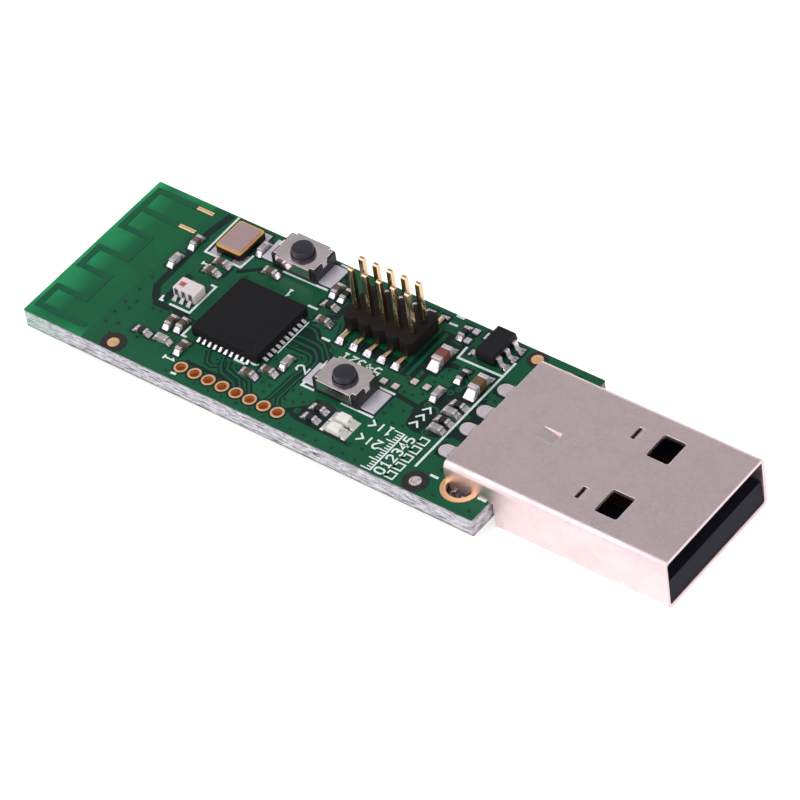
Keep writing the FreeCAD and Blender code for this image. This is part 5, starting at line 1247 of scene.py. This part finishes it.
def set_camera(scene, look):
    """Put the camera at the photographed angle."""
    out = Vector((
        math.sin(look.azimuth) * math.cos(look.elevation),
        -math.cos(look.azimuth) * math.cos(look.elevation),
        math.sin(look.elevation)))
    level = (-out).cross(Vector((0, 0, 1))).normalized()
    upright = level.cross(-out)
    right = level * math.cos(look.roll) + upright * math.sin(look.roll)
    upward = right.cross(-out)
    camera = bpy.data.objects.new("camera", bpy.data.cameras.new("camera"))
    scene.collection.objects.link(camera)
    turned = Matrix((right, upward, out)).transposed().to_4x4()
    turned.translation = Vector(look.aim) + out * look.distance
    camera.matrix_world = turned
    camera.data.sensor_width = 36
    camera.data.lens = look.lens
    camera.data.clip_start = 0.005
    camera.data.clip_end = 20
    scene.camera = camera


def set_floor(look):
    """A wide pale floor that the camera sees as white, with the shadow kept."""
    shape = bmesh.new()
    bmesh.ops.create_grid(shape, x_segments=8, y_segments=8, size=FLOOR_REACH)
    mesh = bpy.data.meshes.new("floor")
    shape.to_mesh(mesh)
    shape.free()
    floor = bpy.data.objects.new("floor", mesh)
    floor.location.z = -FLOOR_GAP
    bpy.context.scene.collection.objects.link(floor)
    material, tree, shader = new_material("white_floor")
    feed_named(tree, shader, Base_Color=tone(228, 224, 222), Roughness=0.9, Specular_IOR_Level=0.1)
    rays = add_node(tree, "ShaderNodeLightPath").outputs
    seen = figure(tree, "MAXIMUM", rays["Is Camera Ray"], rays["Is Glossy Ray"])
    seen = figure(tree, "MAXIMUM", seen, rays["Is Transmission Ray"])
    glow = add_node(tree, "ShaderNodeEmission")
    feed_named(tree, glow, Color=(1, 0.985, 0.975),
               Strength=figure(tree, "MULTIPLY", seen, look.shadow_floor))
    both = add_node(tree, "ShaderNodeAddShader")
    feed(tree, both.inputs[0], shader.outputs[0])
    feed(tree, both.inputs[1], glow.outputs[0])
    feed(tree, tree.nodes["Material Output"].inputs["Surface"], both.outputs[0])
    mesh.materials.append(material)


def set_surround(scene):
    """White behind the object, and a soft studio all round that is greyer high up."""
    world = bpy.data.worlds.new("studio")
    scene.world = world
    world.use_nodes = True
    tree = world.node_tree
    tree.nodes.clear()
    height = split(tree, add_node(tree, "ShaderNodeTexCoord").outputs["Generated"])["Z"]
    ramp = add_node(tree, "ShaderNodeValToRGB")
    feed(tree, ramp.inputs[0], height)
    stops = ramp.color_ramp.elements
    stops[0].position = 0.0
    stops[0].color = (0.95, 0.95, 0.95, 1)
    stops[1].position = 1.0
    stops[1].color = (0.58, 0.58, 0.59, 1)
    for position, shade in ((0.36, 0.95), (0.5, 0.44), (0.82, 0.36)):
        stop = stops.new(position)
        stop.color = (shade, shade, shade * 1.01, 1)
    rays = add_node(tree, "ShaderNodeLightPath").outputs
    mirrored = figure(tree, "MAXIMUM", rays["Is Glossy Ray"], rays["Is Transmission Ray"])
    low = spread(tree, height, 0.4, 0.3)
    seen = figure(tree, "MAXIMUM", rays["Is Camera Ray"], figure(tree, "MULTIPLY", mirrored, low))
    mixed = add_node(tree, "ShaderNodeMixShader")
    feed(tree, mixed.inputs[0], seen)
    for socket, colour in ((mixed.inputs[1], ramp.outputs[0]), (mixed.inputs[2], (1, 1, 1))):
        light = add_node(tree, "ShaderNodeBackground")
        feed(tree, socket, feed_named(tree, light, Color=colour, Strength=1)[0])
    output = add_node(tree, "ShaderNodeOutputWorld")
    feed(tree, output.inputs[0], mixed.outputs[0])


def add_lamp(name, aim, offset, size, share):
    """A soft square lamp that gives its share of full brightness at the aim."""
    lamp = bpy.data.lights.new(name, "AREA")
    lamp.shape = "SQUARE"
    lamp.size = size
    away = Vector(offset)
    lamp.energy = share * math.pi ** 2 * away.length_squared
    holder = bpy.data.objects.new(name, lamp)
    holder.location = aim + away
    holder.rotation_euler = away.to_track_quat("Z", "Y").to_euler()
    bpy.context.scene.collection.objects.link(holder)


class STICK_PT_panel(Panel):
    """The stick's pieces and settings in the sidebar."""

    bl_label = "Radio Stick"
    bl_idname = "STICK_PT_panel"
    bl_space_type = "VIEW_3D"
    bl_region_type = "UI"
    bl_category = "Radio Stick"

    def draw(self, context):
        layout = self.layout
        for step in STEPS:
            layout.operator(step.bl_idname)
        for name, group in SETTINGS:
            box = layout.box()
            box.label(text=group.__doc__)
            for key in group.__annotations__:
                box.prop(getattr(context.scene, name), key)


SETTINGS = [
    ("stick_board", BoardLook),
    ("stick_print", PrintLook),
    ("stick_metal", MetalLook),
    ("stick_body", BodyLook),
    ("stick_studio", StudioLook),
]
STEPS = [
    STICK_OT_board,
    STICK_OT_copper_pattern,
    STICK_OT_print,
    STICK_OT_plug,
    STICK_OT_radio,
    STICK_OT_switches,
    STICK_OT_header,
    STICK_OT_power,
    STICK_OT_small_parts,
    STICK_OT_solder,
    STICK_OT_studio,
]


def register():
    """Add the settings, operators and panel."""
    for name, group in SETTINGS:
        bpy.utils.register_class(group)
        setattr(bpy.types.Scene, name, PointerProperty(type=group))
    for step in STEPS:
        bpy.utils.register_class(step)
    bpy.utils.register_class(STICK_PT_panel)


def unregister():
    """Remove what register added."""
    bpy.utils.unregister_class(STICK_PT_panel)
    for step in reversed(STEPS):
        bpy.utils.unregister_class(step)
    for name, group in reversed(SETTINGS):
        delattr(bpy.types.Scene, name)
        bpy.utils.unregister_class(group)


def main():
    """Dress the stick and light it."""
    register()
    bpy.ops.stick.board()
    bpy.ops.stick.copper_pattern()
    bpy.ops.stick.print_marks()
    bpy.ops.stick.plug()
    bpy.ops.stick.radio()
    bpy.ops.stick.switches()
    bpy.ops.stick.header()
    bpy.ops.stick.power()
    bpy.ops.stick.small_parts()
    bpy.ops.stick.solder()
    bpy.ops.stick.studio()


if __name__ == "__main__":
    main()
